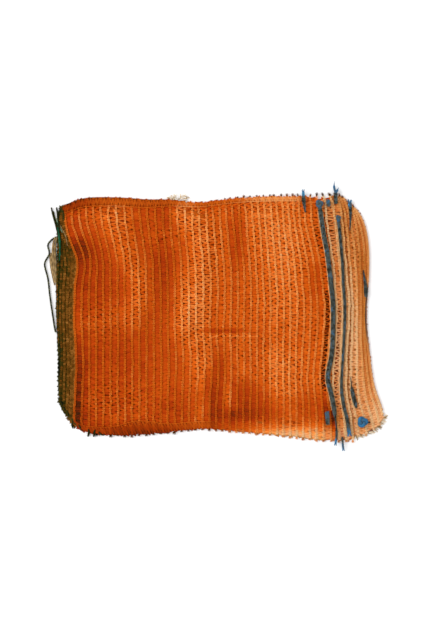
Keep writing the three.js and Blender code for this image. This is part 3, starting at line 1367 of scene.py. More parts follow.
@dataclass
class NetBag:
    """Both layers of net, with the dark band at the bottom fold and the cut ends at the seams."""

    form: BagForm
    shop: Workshop
    knit: Knit = Knit()
    under_knit: Knit = Knit(rung_pitch=0.0060, zigzag=0.10, tape_drop=0.0005)
    hem_knit: Knit = Knit(rung_pitch=0.0060, zigzag=0.0, tape_drop=0.0005)
    band_chains: int = 6
    strip_chains: int = 7
    ridge_full: float = 0.0055
    ladder_fade: float = 0.05
    field_tone: float = 0.18
    field_slope: Slope = Slope(-0.35, 0.15, 0.20)
    # Painted highlight: how much paler the tone is on the crests of the ridges.
    ridge_paling: float = 0.22
    mouth_paling: float = 0.72
    mouth_edge: Pair = (-0.004, 0.016)
    # Painted shade: how far, and to what tone, the back layer under the mouth strip is darkened.
    mouth_shade: float = 0.8
    mouth_back_tone: float = 0.06
    back_paling: float = 0.02
    # Painted shade of the back layer behind open cells and behind the ladders.
    cell_shade: float = 0.14
    ladder_shade: float = 0.40
    # Painted shade: how much deeper the thin rungs in the ladders are.
    ladder_paling: float = -0.12
    shut_tone: float = 0.20
    open_tone: float = 0.48
    shuttings: tuple[Slope, ...] = (Slope(-0.02, 0.12, 0.20), Slope(0.418, 0.436, 0.90))
    near_shutting: tuple[Slope, Slope] = (Slope(0.40, 0.45, 1.0), Slope(0.0, 0.06, 1.0))
    mouth_shutting: float = 0.2
    fringe_start: Pair = (0.265, 0.474)
    band_base: float = 0.06
    band_slopes: tuple[Slope, ...] = (Slope(-0.485, -0.460, 0.34), Slope(-0.456, -0.446, 0.26))
    band_chain_slope: Slope = Slope(-0.470, -0.450, -0.42)
    tick_reach: float = 0.0003
    tick_slopes: tuple[Slope, ...] = (
        Slope(-0.06, 0.06, 0.0040), Slope(0.26, 0.31, 0.0010), Slope(0.36, 0.39, -0.0022),
    )
    nub_reach: float = 0.0010
    nub_slope: Slope = Slope(-0.43, -0.39, 0.0024)
    tick_width: float = 0.0030
    nub_width: float = 0.0040
    tick_tone: float = 0.05
    nub_tone: float = -0.20
    nub_tone_slopes: tuple[Slope, ...] = (
        Slope(-0.37, -0.30, 0.22), Slope(-0.06, 0.06, 0.80), Slope(0.40, 0.44, 0.4),
    )
    body_end: float = 0.996
    band_start: float = 0.002
    strip_span: Pair = (-0.30, 0.96)
    tape_roll: float = 0.04
    band_roll: float = 0.05
    under_widening: Pair = (2.1, 2.1)
    strip_widening: Pair = (1.1, 0.52)
    strip_chain_gain: Pair = (0.10, 0.28)
    strip_tape_gain: Pair = (0.06, 0.20)
    upright: float = 20.0
    orange: YarnFinish = YarnFinish(
        "orange net tape",
        srgb(52, 26, 4), srgb(172, 52, 2), srgb(218, 96, 12), srgb(246, 150, 70), srgb(226, 170, 104),
        crease=0.26,
    )
    golden: YarnFinish = YarnFinish(
        "golden net yarn",
        srgb(60, 32, 6), srgb(176, 62, 2), srgb(222, 108, 20), srgb(254, 164, 82), srgb(242, 196, 136),
    )
    amber: YarnFinish = YarnFinish(
        "amber mouth tape",
        srgb(66, 32, 6), srgb(154, 70, 12), srgb(198, 106, 40), srgb(226, 146, 84), srgb(232, 172, 120),
        crease=0.26,
    )
    straw: YarnFinish = YarnFinish(
        "straw mouth yarn",
        srgb(76, 42, 12), srgb(166, 86, 24), srgb(208, 124, 46), srgb(240, 172, 100), srgb(242, 198, 142),
    )
    olive: YarnFinish = YarnFinish(
        "dark green band yarn",
        srgb(24, 28, 2), srgb(58, 54, 8), srgb(112, 68, 12), srgb(156, 100, 36), srgb(186, 126, 58),
        fleck=0.20,
    )
    brown: YarnFinish = YarnFinish(
        "brown cut ends",
        srgb(40, 24, 8), srgb(84, 44, 12), srgb(150, 82, 28), srgb(226, 146, 76), srgb(240, 196, 150),
    )
    # Soft patches added to the tone. Most dark ones are painted shade in the hollows, the folds, the crease
    # and round the strings' ends; the bright ones below the crease and along the near edge are painted light;
    # the rest only make the net deeper or paler in places.
    spots: tuple[Patch, ...] = (
        # Painted shade in the hollow between the first two ridges.
        Patch((-0.172, 0.235), (0.026, 0.20), -0.19),
        Patch((-0.370, 0.110), (0.050, 0.20), -0.08),
        Patch((0.060, 0.325), (0.023, 0.13), -0.22),
        Patch((-0.106, 0.413), (0.030, 0.060), 0.20),
        Patch((-0.069, 0.000), (0.032, 0.055), 0.14),
        Patch((0.005, -0.200), (0.022, 0.060), -0.18),
        Patch((-0.290, 0.413), (0.030, 0.050), 0.14),
        Patch((0.373, 0.455), (0.030, 0.040), -0.30),
        # Painted shade in the valley below the crease and in the folds towards the near seam.
        Patch((-0.011, -0.340), (0.022, 0.115), -0.18),
        Patch((-0.032, -0.274), (0.018, 0.050), -0.18),
        Patch((-0.143, -0.372), (0.050, 0.045), -0.16),
        Patch((0.055, -0.404), (0.095, 0.032), -0.26),
        Patch((0.065, -0.335), (0.075, 0.070), -0.23),
        Patch((0.225, -0.375), (0.110, 0.075), -0.20),
        # Painted shade above the crease and a painted highlight below it.
        Patch((0.011, -0.057), (0.080, 0.009), -0.25),
        Patch((0.029, -0.078), (0.085, 0.006), 0.20),
        Patch((-0.370, 0.370), (0.090, 0.090), 0.08),
        Patch((-0.440, 0.464), (0.060, 0.030), -0.26, 0.6),
        Patch((-0.470, 0.448), (0.026, 0.024), -0.10),
        Patch((-0.425, 0.365), (0.040, 0.070), 0.02, 10.0),
        Patch((-0.419, 0.282), (0.038, 0.052), -0.22, 0.7),
        # Painted shade on the orange beside the band.
        Patch((-0.432, 0.195), (0.020, 0.120), -0.08, 0.5),
        Patch((0.200, 0.320), (0.080, 0.150), 0.13),
        Patch((0.204, -0.237), (0.050, 0.150), 0.10),
        Patch((-0.087, 0.070), (0.050, 0.120), 0.12),
        Patch((-0.364, -0.258), (0.090, 0.200), -0.06),
        Patch((-0.432, -0.270), (0.018, 0.150), -0.24),
        Patch((-0.430, -0.405), (0.040, 0.050), -0.24),
        Patch((-0.432, -0.360), (0.013, 0.110), -0.10, 0.4),
        Patch((0.462, -0.175), (0.020, 0.150), -0.46),
        Patch((0.490, -0.415), (0.028, 0.045), 0.60),
        Patch((0.414, -0.030), (0.018, 0.200), 0.24),
        Patch((0.385, 0.370), (0.060, 0.130), -0.46),
        # Painted shade beside the strings' near ends.
        Patch((0.362, -0.415), (0.022, 0.045), -0.55, 0.6),
        Patch((0.330, -0.372), (0.016, 0.060), -0.35),
        Patch((0.373, 0.184), (0.020, 0.090), -0.50, 0.6),
        Patch((0.373, -0.127), (0.020, 0.060), 0.30),
        Patch((0.290, 0.140), (0.038, 0.100), -0.18),
        Patch((0.440, 0.190), (0.032, 0.180), -0.62),
        Patch((0.446, -0.020), (0.013, 0.150), -0.44),
        # Painted light along the near edge.
        Patch((0.225, -0.492), (0.150, 0.040), 1.20),
        Patch((0.032, -0.331), (0.013, 0.050), 0.25),
        Patch((-0.060, -0.400), (0.020, 0.045), 0.12),
        Patch((0.200, 0.484), (0.160, 0.022), 0.36),
        Patch((-0.300, 0.475), (0.140, 0.025), 0.12),
        Patch((-0.220, -0.470), (0.170, 0.028), -0.36),
    )
    open_spots: tuple[Patch, ...] = (
        Patch((-0.379, 0.430), (0.110, 0.060), 0.75),
        Patch((-0.360, -0.012), (0.100, 0.100), 0.65),
        Patch((-0.330, -0.350), (0.170, 0.130), 0.80),
        Patch((-0.170, 0.330), (0.060, 0.060), 0.70),
        Patch((0.032, -0.331), (0.014, 0.055), 0.85),
    )
    # Painted light: where the near edge takes the paler mouth finishes.
    faded_edge: Patch = Patch((0.230, -0.490), (0.170, 0.032), 0.9)
    band_spots: tuple[Patch, ...] = (
        Patch((-0.497, 0.300), (0.014, 0.120), -0.30),
        Patch((-0.479, -0.200), (0.010, 0.200), -0.22),
        Patch((-0.463, -0.080), (0.007, 0.120), 0.18),
        Patch((-0.455, 0.250), (0.018, 0.075), -0.24),
    )
    ladders: tuple[Ladder, ...] = (
        Ladder(0, -0.0155, 0.0095, (-0.36, 0.12), 1.0),
        Ladder(0, -0.0155, 0.0095, (0.12, 0.40), 0.6),
        Ladder(0, 0.0220, 0.0120, (0.27, 0.44), 0.5),
        Ladder(0, 0.0140, 0.0060, (-0.36, -0.20), 0.6),
        Ladder(1, -0.0150, 0.0055, (-0.34, 0.06), 0.60),
        Ladder(1, 0.0125, 0.0055, (-0.25, -0.02), 0.8),
        Ladder(1, 0.0250, 0.0050, (-0.25, -0.09), 0.6),
    )

    def base_tone(self, places: Array, chains: bool = False) -> Array:
        """Gives the net's tone: redder at the fold, paler at the mouth, painted shade in the hollows, painted
        highlight on the ridges.

        Args:
            places: Points of the bag.
            chains: Whether it is the tone of the chains, which some of the soft patches spare.

        Returns:
            The tone at each point, from 0, deep, to 1, pale.
        """
        shares = self.form.shares_of(places)
        rise = self.form.ridge_share(places[..., :2]) / self.ridge_full
        tone = self.field_tone + self.field_slope.at(shares[..., 0]) + self.ridge_paling * rise
        # The patches add painted shade in the hollows, folds and crease, and some painted light.
        for spot in self.spots:
            tone = tone + spot.at(shares) * (spot.chain_share if chains else 1.0)
        return tone + self.mouth_paling * self.mouth_share(shares)

    def mouth_share(self, shares: Array) -> Array:
        """Tells what lies past the inner string: from 0, the field, to 1, the mouth."""
        return smoothstep(shares[..., 0] - self.string_line(0, shares[..., 1]), *self.mouth_edge)

    def tone(self, places: Array) -> Array:
        """Gives the tone of the front layer, whose thin rungs in the ladders are darkened as painted shade.
        """
        return self.base_tone(places) + self.ladder_paling * self.ladder_share(self.form.shares_of(places))

    def chain_tone(self, places: Array) -> Array:
        """Gives the tone of the front layer's chains before their own gain."""
        return self.base_tone(places, chains=True)

    @staticmethod
    def string_line(string: int, across: Array) -> Array:
        """Gives the share along the bag at which one of the front strings lies."""
        route = np.array(Drawstrings.runs[string].route)[::-1]
        return np.interp(across, route[:, 1], route[:, 0])

    def ladder_share(self, shares: Array) -> Array:
        """Tells how far the cells stand open in the ladders beside the strings.

        Args:
            shares: Shares of the bag's length and width.

        Returns:
            From 0, outside, to 1, in the middle of the deepest ladder.
        """
        along, across = shares[..., 0], shares[..., 1]
        fade = self.ladder_fade
        depth = np.zeros_like(along)
        for ladder in self.ladders:
            start, end = ladder.stretch
            off = (along - self.string_line(ladder.string, across) - ladder.gap) / ladder.reach
            inside = smoothstep(across, start - fade, start + fade)
            inside = inside - smoothstep(across, end - fade, end + fade)
            depth = np.maximum(depth, ladder.depth * inside * np.exp(-(off**2)))
        return depth

    def back_tone(self, places: Array) -> Array:
        """Gives the back layer's tone with painted shade: deeper behind open knit, deepest behind the
        ladders, deep under the mouth strip.

        Args:
            places: Points of the bag.

        Returns:
            The tone at each point.
        """
        shares = self.form.shares_of(places)
        tone = self.base_tone(places)
        cells = smoothstep(tone, self.shut_tone, self.open_tone)
        ladder = self.ladder_share(shares)
        mouth = self.mouth_shade * self.mouth_share(shares)
        tone = (tone + self.back_paling - self.cell_shade * cells) * (1 - ladder) - self.ladder_shade * ladder
        return tone * (1 - mouth) + self.mouth_back_tone * mouth

    def openness(self, places: Array) -> Array:
        """Tells how open the knit is: shut in the hollows, open on the ridges, widest in the ladders.

        Args:
            places: Points of the bag.

        Returns:
            From 0, shut, to 1, open, and above that in the ladders.
        """
        shares = self.form.shares_of(places)
        along, across = shares[..., 0], shares[..., 1]
        cells = smoothstep(self.base_tone(places), self.shut_tone, self.open_tone)
        for spot in self.open_spots:
            cells = np.maximum(cells, spot.at(shares))
        for slope in self.shuttings:
            cells *= 1 - slope.at(along)
        near, right = self.near_shutting
        cells *= 1 - near.at(-across) * right.at(along)
        cells *= 1 - self.mouth_shutting * self.mouth_share(shares)
        return cells + self.ladder_share(shares)

    def parted(self, strands: Strands, seed: int) -> tuple[Strands, Strands]:
        """Parts the front layer's strands: past the inner string, and at the near edge as painted light, they
        take the mouth finishes.

        Args:
            strands: The strands.
            seed: The seed of the draws that mingle them at the near edge.

        Returns:
            The strands that keep their finishes and those that take the mouth finishes.
        """
        shares = self.form.shares_of(strands.places)
        mouth_finish_share = np.where(self.mouth_share(shares) > 0.5, 1.0, self.faded_edge.at(shares))
        faded = np.random.default_rng(seed).uniform(0.0, 1.0, len(mouth_finish_share)) < mouth_finish_share
        return strands.only(~faded), strands.only(faded)

    def band_tone(self, places: Array) -> Array:
        """Gives the tone of the bottom band: dark green at the fold, brown where the orange begins."""
        shares = self.form.shares_of(places)
        return climbed(self.band_base, self.band_slopes, shares[..., 0]) + patched(self.band_spots, shares)

    def band_chain_tone(self, places: Array) -> Array:
        """Gives the tone of the band's chains before their own gain: those beside the orange are deeper."""
        return self.band_tone(places) + self.band_chain_slope.at(self.form.shares_of(places)[..., 0])

    @staticmethod
    def shut(places: Array) -> Array:
        """Tells that the knit is shut."""
        return np.zeros(places.shape[:-1])

    def bare_fringe(self, places: Array) -> Array:
        """Tells where no tapes are left between the chains, at the far seam beside the mouth."""
        along, across = np.moveaxis(self.form.shares_of(places), -1, 0)
        return (along > self.fringe_start[0]) & (across > self.fringe_start[1])

    def _by_side(
        self, places: Array,
        far: float, far_slopes: Sequence[Slope],
        near: float, near_slopes: Sequence[Slope],
    ) -> Array:
        """Reads one set of slopes at the far seam's ends and another one at the near seam's."""
        along, across = np.moveaxis(self.form.shares_of(places), -1, 0)
        return np.where(across > 0, climbed(far, far_slopes, along), climbed(near, near_slopes, along))

    def end_reach(self, places: Array) -> Array:
        """Tells how far the cut chains stand out: nubs on the near side, ticks far right."""
        return self._by_side(places, self.tick_reach, self.tick_slopes, self.nub_reach, [self.nub_slope])

    def end_spread(self, places: Array) -> Array:
        """Tells how wide the cut chains spread."""
        return self._by_side(places, self.tick_width, [], self.nub_width, [])

    def end_tone(self, places: Array) -> Array:
        """Gives the cut chains' tone: dark, and orange on the near side towards the mouth."""
        return self._by_side(places, self.tick_tone, [], self.nub_tone, self.nub_tone_slopes)

    def build(self) -> None:
        """Knits both layers and dresses them."""
        form, knit, under_knit, openness = self.form, self.knit, self.under_knit, self.openness
        even = np.linspace(0.0, 1.0, round(form.front_area.far.length / knit.chain_pitch) - 1)
        crowded = even + knit.crowding * even * (1.0 - even)
        body = form.band_share + (self.body_end - form.band_share) * crowded
        half = (body[-1] - body[-2]) / 2.0
        band = np.linspace(self.band_start, form.band_share, self.band_chains)
        mouth = np.linspace(*self.strip_span, self.strip_chains)
        below_mouth = mouth[1:] - (mouth[1] - mouth[0]) / 2.0
        under = {
            "rung_phase": 0.5, "chain_gain": (-0.04, -0.04), "tape_gain": (0.0, 0.0),
            "tape_widening": self.under_widening, "upright": self.upright, "tape_rounding": 0.0,
        }
        mottle = {
            "loop_spread": (0.40, 0.40), "tape_spread": (0.26, 0.26), "column_spread": 0.18,
            "last_chain": False, "on_bag": form.on_front,
        }
        cut = {"on_bag": form.on_front, "bare": self.bare_fringe}
        front = NetPanel(form.front, body, knit, self.tone, openness, SEED, chain_tone=self.chain_tone, **cut)
        back = NetPanel(
            form.back, body[1:] - half, under_knit, self.back_tone, openness, SEED + 1,
            trimmed=True, **under, **cut,
        )
        strip = NetPanel(
            form.strip, mouth, knit, self.tone, openness, SEED + 2,
            tape_widening=self.strip_widening, upright=self.upright, chain_gain=self.strip_chain_gain,
            tape_gain=self.strip_tape_gain, on_bag=form.on_strip, bare=form.past_cut,
        )
        hem = NetPanel(
            form.hem, below_mouth, self.hem_knit, self.back_tone, openness, SEED + 5,
            on_bag=form.on_strip, bare=form.past_hem, **under,
        )
        front_band = NetPanel(
            form.front, band, knit, self.band_tone, self.shut, SEED + 3,
            chain_gain=(0.42, 0.42), tape_gain=(0.0, 0.0), chain_tone=self.band_chain_tone, **mottle,
        )
        back_band = NetPanel(
            form.back, band + half, under_knit, self.band_tone, self.shut, SEED + 4, **under, **mottle
        )
        shapes = SmallShapes()
        loop, tape, end = shapes.loop(), shapes.tape(), shapes.cut_end()
        finishes = (self.golden, self.orange, self.straw, self.amber, self.olive, self.brown)
        golden, orange, straw, amber, olive, brown = (finish.material() for finish in finishes)
        fresh_loops, mouth_finish_loops = self.parted(front.loops(), SEED + 50)
        fresh_rungs, mouth_finish_rungs = self.parted(front.tapes(), SEED + 51)
        fray = (self.end_reach, self.end_spread, self.end_tone)
        band_fray = (self.end_reach, self.end_spread, self.band_tone)
        roll, band_roll = self.tape_roll, self.band_roll
        pieces = (
            ("front_chains", loop, [fresh_loops], golden, Slot.NET),
            ("back_chains", loop, [back.loops()], orange, Slot.NET),
            ("mouth_chains", loop, [strip.loops(), hem.loops(), mouth_finish_loops], straw, Slot.NET),
            ("band_chains", loop, [front_band.loops(), back_band.loops()], olive, Slot.BOTTOM_YARN),
            ("front_tapes", tape, [fresh_rungs], orange, Slot.NET, roll),
            ("back_tapes", tape, [back.tapes()], orange, Slot.NET, roll),
            ("mouth_tapes", tape, [strip.tapes(), hem.tapes(), mouth_finish_rungs], amber, Slot.NET, roll),
            ("band_tapes", tape, [front_band.tapes(), back_band.tapes()], olive, Slot.BOTTOM_YARN, band_roll),
            ("cut_chain_ends", end, [front.cut_ends(*fray), strip.cut_ends(*fray)], brown, Slot.NET),
            ("cut_band_ends", end, [front_band.cut_ends(*band_fray)], olive, Slot.BOTTOM_YARN),
        )
        for name, shape, strands, finish, slot, *turning in pieces:
            piece = self.shop.lay(name, shape, Strands.joined(strands), finish, *turning)
            dress(piece, slot, ["net_bag"] if name == "front_chains" else [])


@dataclass
class SideSeams:
    """The overlock sewing along both sides: a needle line and the threads that wrap the edge."""

    form: BagForm
    shop: Workshop
    tone: Reading
    allowance: float = 0.0105
    stitch: float = 0.0034
    step: float = 0.0007
    start: float = 0.012
    far_end: float = 0.90
    near_end: float = 0.52
    taper: float = 0.8
    taper_stretch: float = 0.06
    lift: float = 0.0007
    needle_girth: float = 0.00045
    needle_bob: float = 0.0002
    needle_paling: float = 0.2
    wrap_girth: float = 0.00042
    wrap_insets: Pair = (0.0004, 0.0010)
    wrap_mottle: float = 0.10
    wrap_wave: float = 0.37
    cord_girth: float = 0.00065
    cord_stretch: Pair = (0.004, 0.40)
    cord_inset: float = 0.0001
    cord_drop: float = 0.0003
    cord_fades: Pair = (0.02, 0.05)
    cord_thinning: float = 0.6
    cord_tone: float = -0.2
    cord_slope: Slope = Slope(0.0, 0.22, 0.55)
    cord_mottle: float = 0.2
    cord_waves: Pair = (190.0, 61.0)
    bow_height: float = 0.009
    bow_place: float = 0.25
    bow_reach: float = 0.075
    narrowing: Slope = Slope(0.25, 0.55, 0.45)
    finish: YarnFinish = YarnFinish(
        "orange seam thread",
        srgb(100, 36, 4), srgb(168, 58, 2), srgb(212, 100, 18), srgb(248, 176, 104), srgb(226, 172, 142),
    )
    edge_finish: YarnFinish = YarnFinish(
        "brown edge cord",
        srgb(40, 30, 8), srgb(92, 52, 14), srgb(166, 78, 16), srgb(206, 110, 40), srgb(220, 150, 90),
    )

    def _on_net(self, share: Array, inset: Array, far: bool, lift: Array) -> Array:
        """Finds points on the net beside a seam.

        Args:
            share: Shares along the seam.
            inset: How far inside the edge the points lie.
            far: Whether it is the far seam.
            lift: How far they lie above the net.

        Returns:
            The points.
        """
        v = inset / self.form.width
        points = self.form.laid(share, 1.0 - v if far else v)
        points[:, 2] += lift
        return points

    def _edge_cord(self) -> Yarn:
        """Runs a cord along the far edge where the seam is turned under and the edge is smooth.

        Returns:
            The cord.
        """
        last = self.cord_stretch[1]
        count = round(self.form.front_area.far.length * last / self.step)
        share = np.linspace(*self.cord_stretch, count)
        points = self._on_net(share, np.full(count, self.cord_inset), True, -self.cord_drop)
        fade_in, fade_out = self.cord_fades
        fade = smoothstep(share, 0.0, fade_in) * (1 - smoothstep(share, last - fade_out, last))
        first, second = self.cord_waves
        mottle = self.cord_mottle * np.sin(share * first) * np.sin(share * second)
        girths = self.cord_girth * (1 - self.cord_thinning * (1 - fade))
        return Yarn(points, girths, self.cord_slope.at(share) + self.cord_tone + mottle)

    def build(self) -> None:
        """Sews both seams and dresses them."""
        yarns = []
        outer, inner = self.wrap_insets
        area = self.form.front_area
        for far, edge, last in ((False, area.near, self.near_end), (True, area.far, self.far_end)):
            share = np.linspace(self.start, last, round(edge.length / self.step))
            walk = share * edge.length / self.stitch * TURN
            taper = 1.0 - self.taper * smoothstep(share, last - self.taper_stretch, last)
            if far:
                inset = self.allowance * (1.0 - self.narrowing.at(share))
            else:
                bow = np.exp(-(((share - self.bow_place) / self.bow_reach) ** 2))
                inset = self.allowance + self.bow_height * bow
            needle = self._on_net(share, inset, far, self.lift + self.needle_bob * np.sin(walk))
            yarns.append(Yarn(needle, self.needle_girth * taper, self.tone(needle) + self.needle_paling))
            for phase in (0.0, 0.5 * math.pi):
                swing = 0.5 + 0.5 * np.sin(walk + phase)
                wrap = self._on_net(share, outer + (inset - inner) * swing, far, self.lift)
                tones = self.tone(wrap) + self.wrap_mottle * np.sin(walk * self.wrap_wave + phase)
                yarns.append(Yarn(wrap, self.wrap_girth * taper, tones))
        dress(self.shop.sweep("seam_threads", yarns, self.finish.material(), sides=5), Slot.NET)
        dress(self.shop.sweep("far_edge_cord", [self._edge_cord()], self.edge_finish.material()), Slot.NET)


class StringEnd(Enum):
    """How a length of string ends."""

    PLAIN = "plain"
    FORKED = "forked"
    KNOTTED = "knotted"


class StringSize(Enum):
    """Width and thickness of the kinds of string."""

    WIDE = (0.0052, 0.0022)
    FLAT = (0.0046, 0.0018)
    THIN = (0.0040, 0.0018)
    LOOSE = (0.0026, 0.0016)


@dataclass(frozen=True)
class StringRun:
    """One length of drawstring: its route in plan, its solid, its size and its ends."""

    name: str
    route: Shares
    node: str
    size: StringSize
    start: StringEnd = StringEnd.PLAIN
    end: StringEnd = StringEnd.PLAIN
    girths: Shares = ((0.0, 1.0), (1.0, 1.0))
    prongs: tuple[Shares, ...] = ()
    knot_radius: float = 0.0
    tint: float = 0.0


@dataclass
class StringLine:
    """A string's middle line: its points, their shares of its length, headings, sides and gains of width."""

    points: Array
    shares: Array
    walk: Array
    along: Array
    over: Array
    gain: Array


@dataclass
class Drawstrings:
    """The plaited strings along the mouth, their frayed ends, the knot and the channels they run in."""

    form: BagForm
    shop: Workshop
    plait_strands: int = 3
    plait_pitch: float = 0.0085
    strand_share: float = 0.23
    sway_share: float = 0.36
    step: float = 0.0009
    smoothing: float = 0.006
    end_colour_reach: Pair = (0.003, 0.009)
    least_bob: float = 0.0002
    base_tone: float = 0.10
    wave_tone: float = 0.12
    wave_step: float = 0.31
    start_paling: float = 0.6
    end_paling: float = 0.75
    mottle: float = 0.34
    shine: float = 0.3
    channel_girth: float = 0.00050
    channel_gap: float = 0.0005
    channel_drop: float = 0.35
    channel_stretch: Pair = (0.03, 0.86)
    channel_beads: Pair = (0.35, 2100.0)
    channel_tones: Triple = (0.45, 0.2, 0.35)
    channel_waves: Pair = (160.0, 530.0)
    prong_steps: int = 14
    prong_girth: float = 0.0014
    prong_profile: Shares = ((0.0, 0.7), (0.15, 1.0), (0.55, 1.0), (0.7, 0.35), (1.0, 0.12))
    prong_tones: Pair = (0.75, 1.05)
    fork_steps: int = 6
    fork_leans: tuple[float, ...] = (-1.0, -0.78, -0.55, 0.5, 0.75, 1.0)
    fork_reaches: Pair = (0.7, 1.2)
    fork_shortening: Pair = (1.15, 0.4)
    fork_spread: float = 0.42
    fork_opening: Pair = (0.75, 0.6)
    fork_bend: float = 0.1
    fork_girth: float = 0.17
    fork_thinning: float = 0.45
    fork_tones: Pair = (0.8, 1.15)
    finish: YarnFinish = YarnFinish(
        "dark blue string yarn",
        srgb(20, 21, 17), srgb(42, 45, 39), srgb(82, 89, 85), srgb(42, 96, 136), srgb(78, 144, 182),
        fleck=0.36, bump=0.5,
    )
    channel_finish: YarnFinish = YarnFinish(
        "pale channel yarn",
        srgb(90, 60, 32), srgb(136, 98, 60), srgb(186, 142, 96), srgb(226, 182, 130), srgb(236, 206, 170),
    )
    runs: tuple[StringRun, ...] = (
        StringRun(
            "front_string_inner",
            (
                (0.308, 0.462), (0.321, 0.34), (0.333, 0.254), (0.344, 0.135), (0.350, 0.049),
                (0.350, -0.049), (0.346, -0.151), (0.334, -0.246), (0.346, -0.323), (0.356, -0.401),
                (0.361, -0.471), (0.358, -0.516),
            ),
            "front_drawstring_inner", StringSize.WIDE, StringEnd.KNOTTED, StringEnd.FORKED,
            girths=(
                (0.0, 0.9), (0.1, 0.9), (0.3, 1.0), (0.87, 0.95),
                (0.90, 0.35), (0.93, 0.35), (0.95, 0.6), (1.0, 0.5),
            ),
            knot_radius=0.0024,
        ),
        StringRun(
            "front_string_outer",
            (
                (0.366, 0.405), (0.373, 0.311), (0.379, 0.217), (0.382, 0.127), (0.386, 0.049),
                (0.385, -0.049), (0.381, -0.151), (0.376, -0.282), (0.383, -0.36), (0.394, -0.421),
                (0.4, -0.475),
            ),
            "front_drawstring_outer", StringSize.THIN, StringEnd.KNOTTED, StringEnd.FORKED,
            girths=((0.0, 0.85), (0.45, 0.78), (0.7, 0.68), (0.85, 0.95), (1.0, 1.05)), knot_radius=0.0016,
        ),
        StringRun(
            "back_string_far_end", ((0.402, 0.352), (0.404, 0.417), (0.402, 0.468)),
            "back_drawstring_far_end", StringSize.THIN, end=StringEnd.FORKED,
            girths=((0.0, 0.25), (0.4, 0.6), (0.7, 0.9), (1.0, 1.1)), tint=-0.1,
        ),
        StringRun(
            "back_string_near_end", ((0.4045, -0.246), (0.4095, -0.303), (0.4225, -0.372)),
            "back_drawstring_near_end", StringSize.FLAT,
            girths=((0.0, 0.2), (0.30, 0.3), (0.42, 1.0), (0.85, 1.0), (1.0, 0.5)),
        ),
        StringRun(
            "back_string_rim_stretch", ((0.443, 0.192), (0.45, 0.127), (0.452, 0.082)),
            "back_drawstring_rim_stretch", StringSize.FLAT,
            girths=((0.0, 0.25), (0.4, 0.7), (0.8, 1.1), (1.0, 0.7)), tint=-0.05,
        ),
        StringRun(
            "tail_far_left", ((0.265, 0.426), (0.261, 0.47), (0.259, 0.512)),
            "seam_tail_far_left", StringSize.THIN, end=StringEnd.FORKED,
            girths=((0.0, 0.3), (0.3, 0.8), (0.6, 1.15), (1.0, 0.7)), tint=0.1,
        ),
        StringRun(
            "tail_far_middle", ((0.338, 0.45), (0.336, 0.465), (0.334, 0.48)),
            "seam_tail_far_middle", StringSize.WIDE,
            girths=((0.0, 0.55), (0.4, 0.95), (0.8, 0.9), (1.0, 0.5)), tint=0.42,
        ),
        StringRun(
            "tail_far_right", ((0.359, 0.462), (0.358, 0.505), (0.354, 0.552)),
            "seam_tail_far_right", StringSize.FLAT,
            girths=((0.0, 0.9), (0.42, 0.95), (0.5, 0.5), (0.6, 0.12), (1.0, 0.05)), tint=0.1,
            prongs=(
                ((0.3580, 0.505), (0.3553, 0.520), (0.3537, 0.534), (0.3543, 0.556)),
                ((0.3590, 0.505), (0.3635, 0.517), (0.3680, 0.529)),
            ),
        ),
        StringRun(
            "tail_near_left", ((0.331, -0.385), (0.333, -0.41), (0.334, -0.438)),
            "seam_tail_near_left", StringSize.WIDE,
            girths=((0.0, 0.85), (0.1, 0.95), (0.9, 0.95), (1.0, 0.85)), tint=0.34,
        ),
        StringRun(
            "tail_near_right", ((0.379, -0.49), (0.38, -0.514), (0.382, -0.54)),
            "seam_tail_near_right", StringSize.LOOSE, end=StringEnd.FORKED,
        ),
    )
    knot_radius: float = 0.0033
    knot_steps: int = 90
    knot_girth: float = 0.66
    knot_tone: float = 0.82
    small_knot_tone: float = 0.50
    knot_mottle: float = 0.24
    tail_steps: int = 10
    tail_run: Triple = (2.9, -0.25, -0.35)
    tail_girth: float = 0.30
    tail_tones: Pair = (0.25, -0.10)

    def _line(self, run: StringRun) -> StringLine:
        """Lays a string's middle line at the height of its solid.

        Args:
            run: The string.

        Returns:
            The line.
        """
        plan = self.form.curve(run.route)
        shares = np.linspace(0.0, 1.0, max(12, round(plan.length / self.step)))
        spots = plan.at(shares)
        top = Ground(run.node).height(spots)
        known = ~np.isnan(top)
        top = np.interp(shares, shares[known], top[known])
        points = raised(spots, blurred(top - run.size.value[1] / 2.0, round(self.smoothing / self.step)))
        along = unit(np.gradient(points, axis=0))
        gain = np.interp(shares, *np.array(run.girths).T)
        return StringLine(points, shares, shares * plan.length, along, unit(np.cross(along, UP)), gain)

    def _plait(self, run: StringRun, seed: int) -> list[Yarn]:
        """Plaits the yarns of one string and finishes its ends.

        Args:
            run: The string.
            seed: The seed of its random draws.

        Returns:
            The yarns.
        """
        draws = np.random.default_rng(seed)
        line = self._line(run)
        width, thickness = run.size.value
        girth = width * self.strand_share * line.gain
        sway = width * self.sway_share * line.gain
        bob = np.maximum(thickness / 2.0 - girth, self.least_bob)
        turns = line.walk / self.plait_pitch * TURN
        tones = self.base_tone + run.tint + self.wave_tone * np.sin(turns * self.wave_step) ** 2
        if run.start is not StringEnd.PLAIN:
            tones = tones + self.start_paling * (1 - smoothstep(line.walk, *self.end_colour_reach))
        if run.end is StringEnd.FORKED:
            from_end = line.walk[-1] - line.walk
            tones = tones + self.end_paling * (1 - smoothstep(from_end, *self.end_colour_reach))
        yarns = []
        for strand in range(self.plait_strands):
            turn = turns + TURN * strand / self.plait_strands
            points = line.points + line.over * (sway * np.sin(turn))[:, None]
            points += np.cross(line.over, line.along) * (bob * np.sin(2 * turn))[:, None]
            mottle = blurred(draws.uniform(-1.0, 1.0, len(turn)), 1) * 2.0 * self.mottle
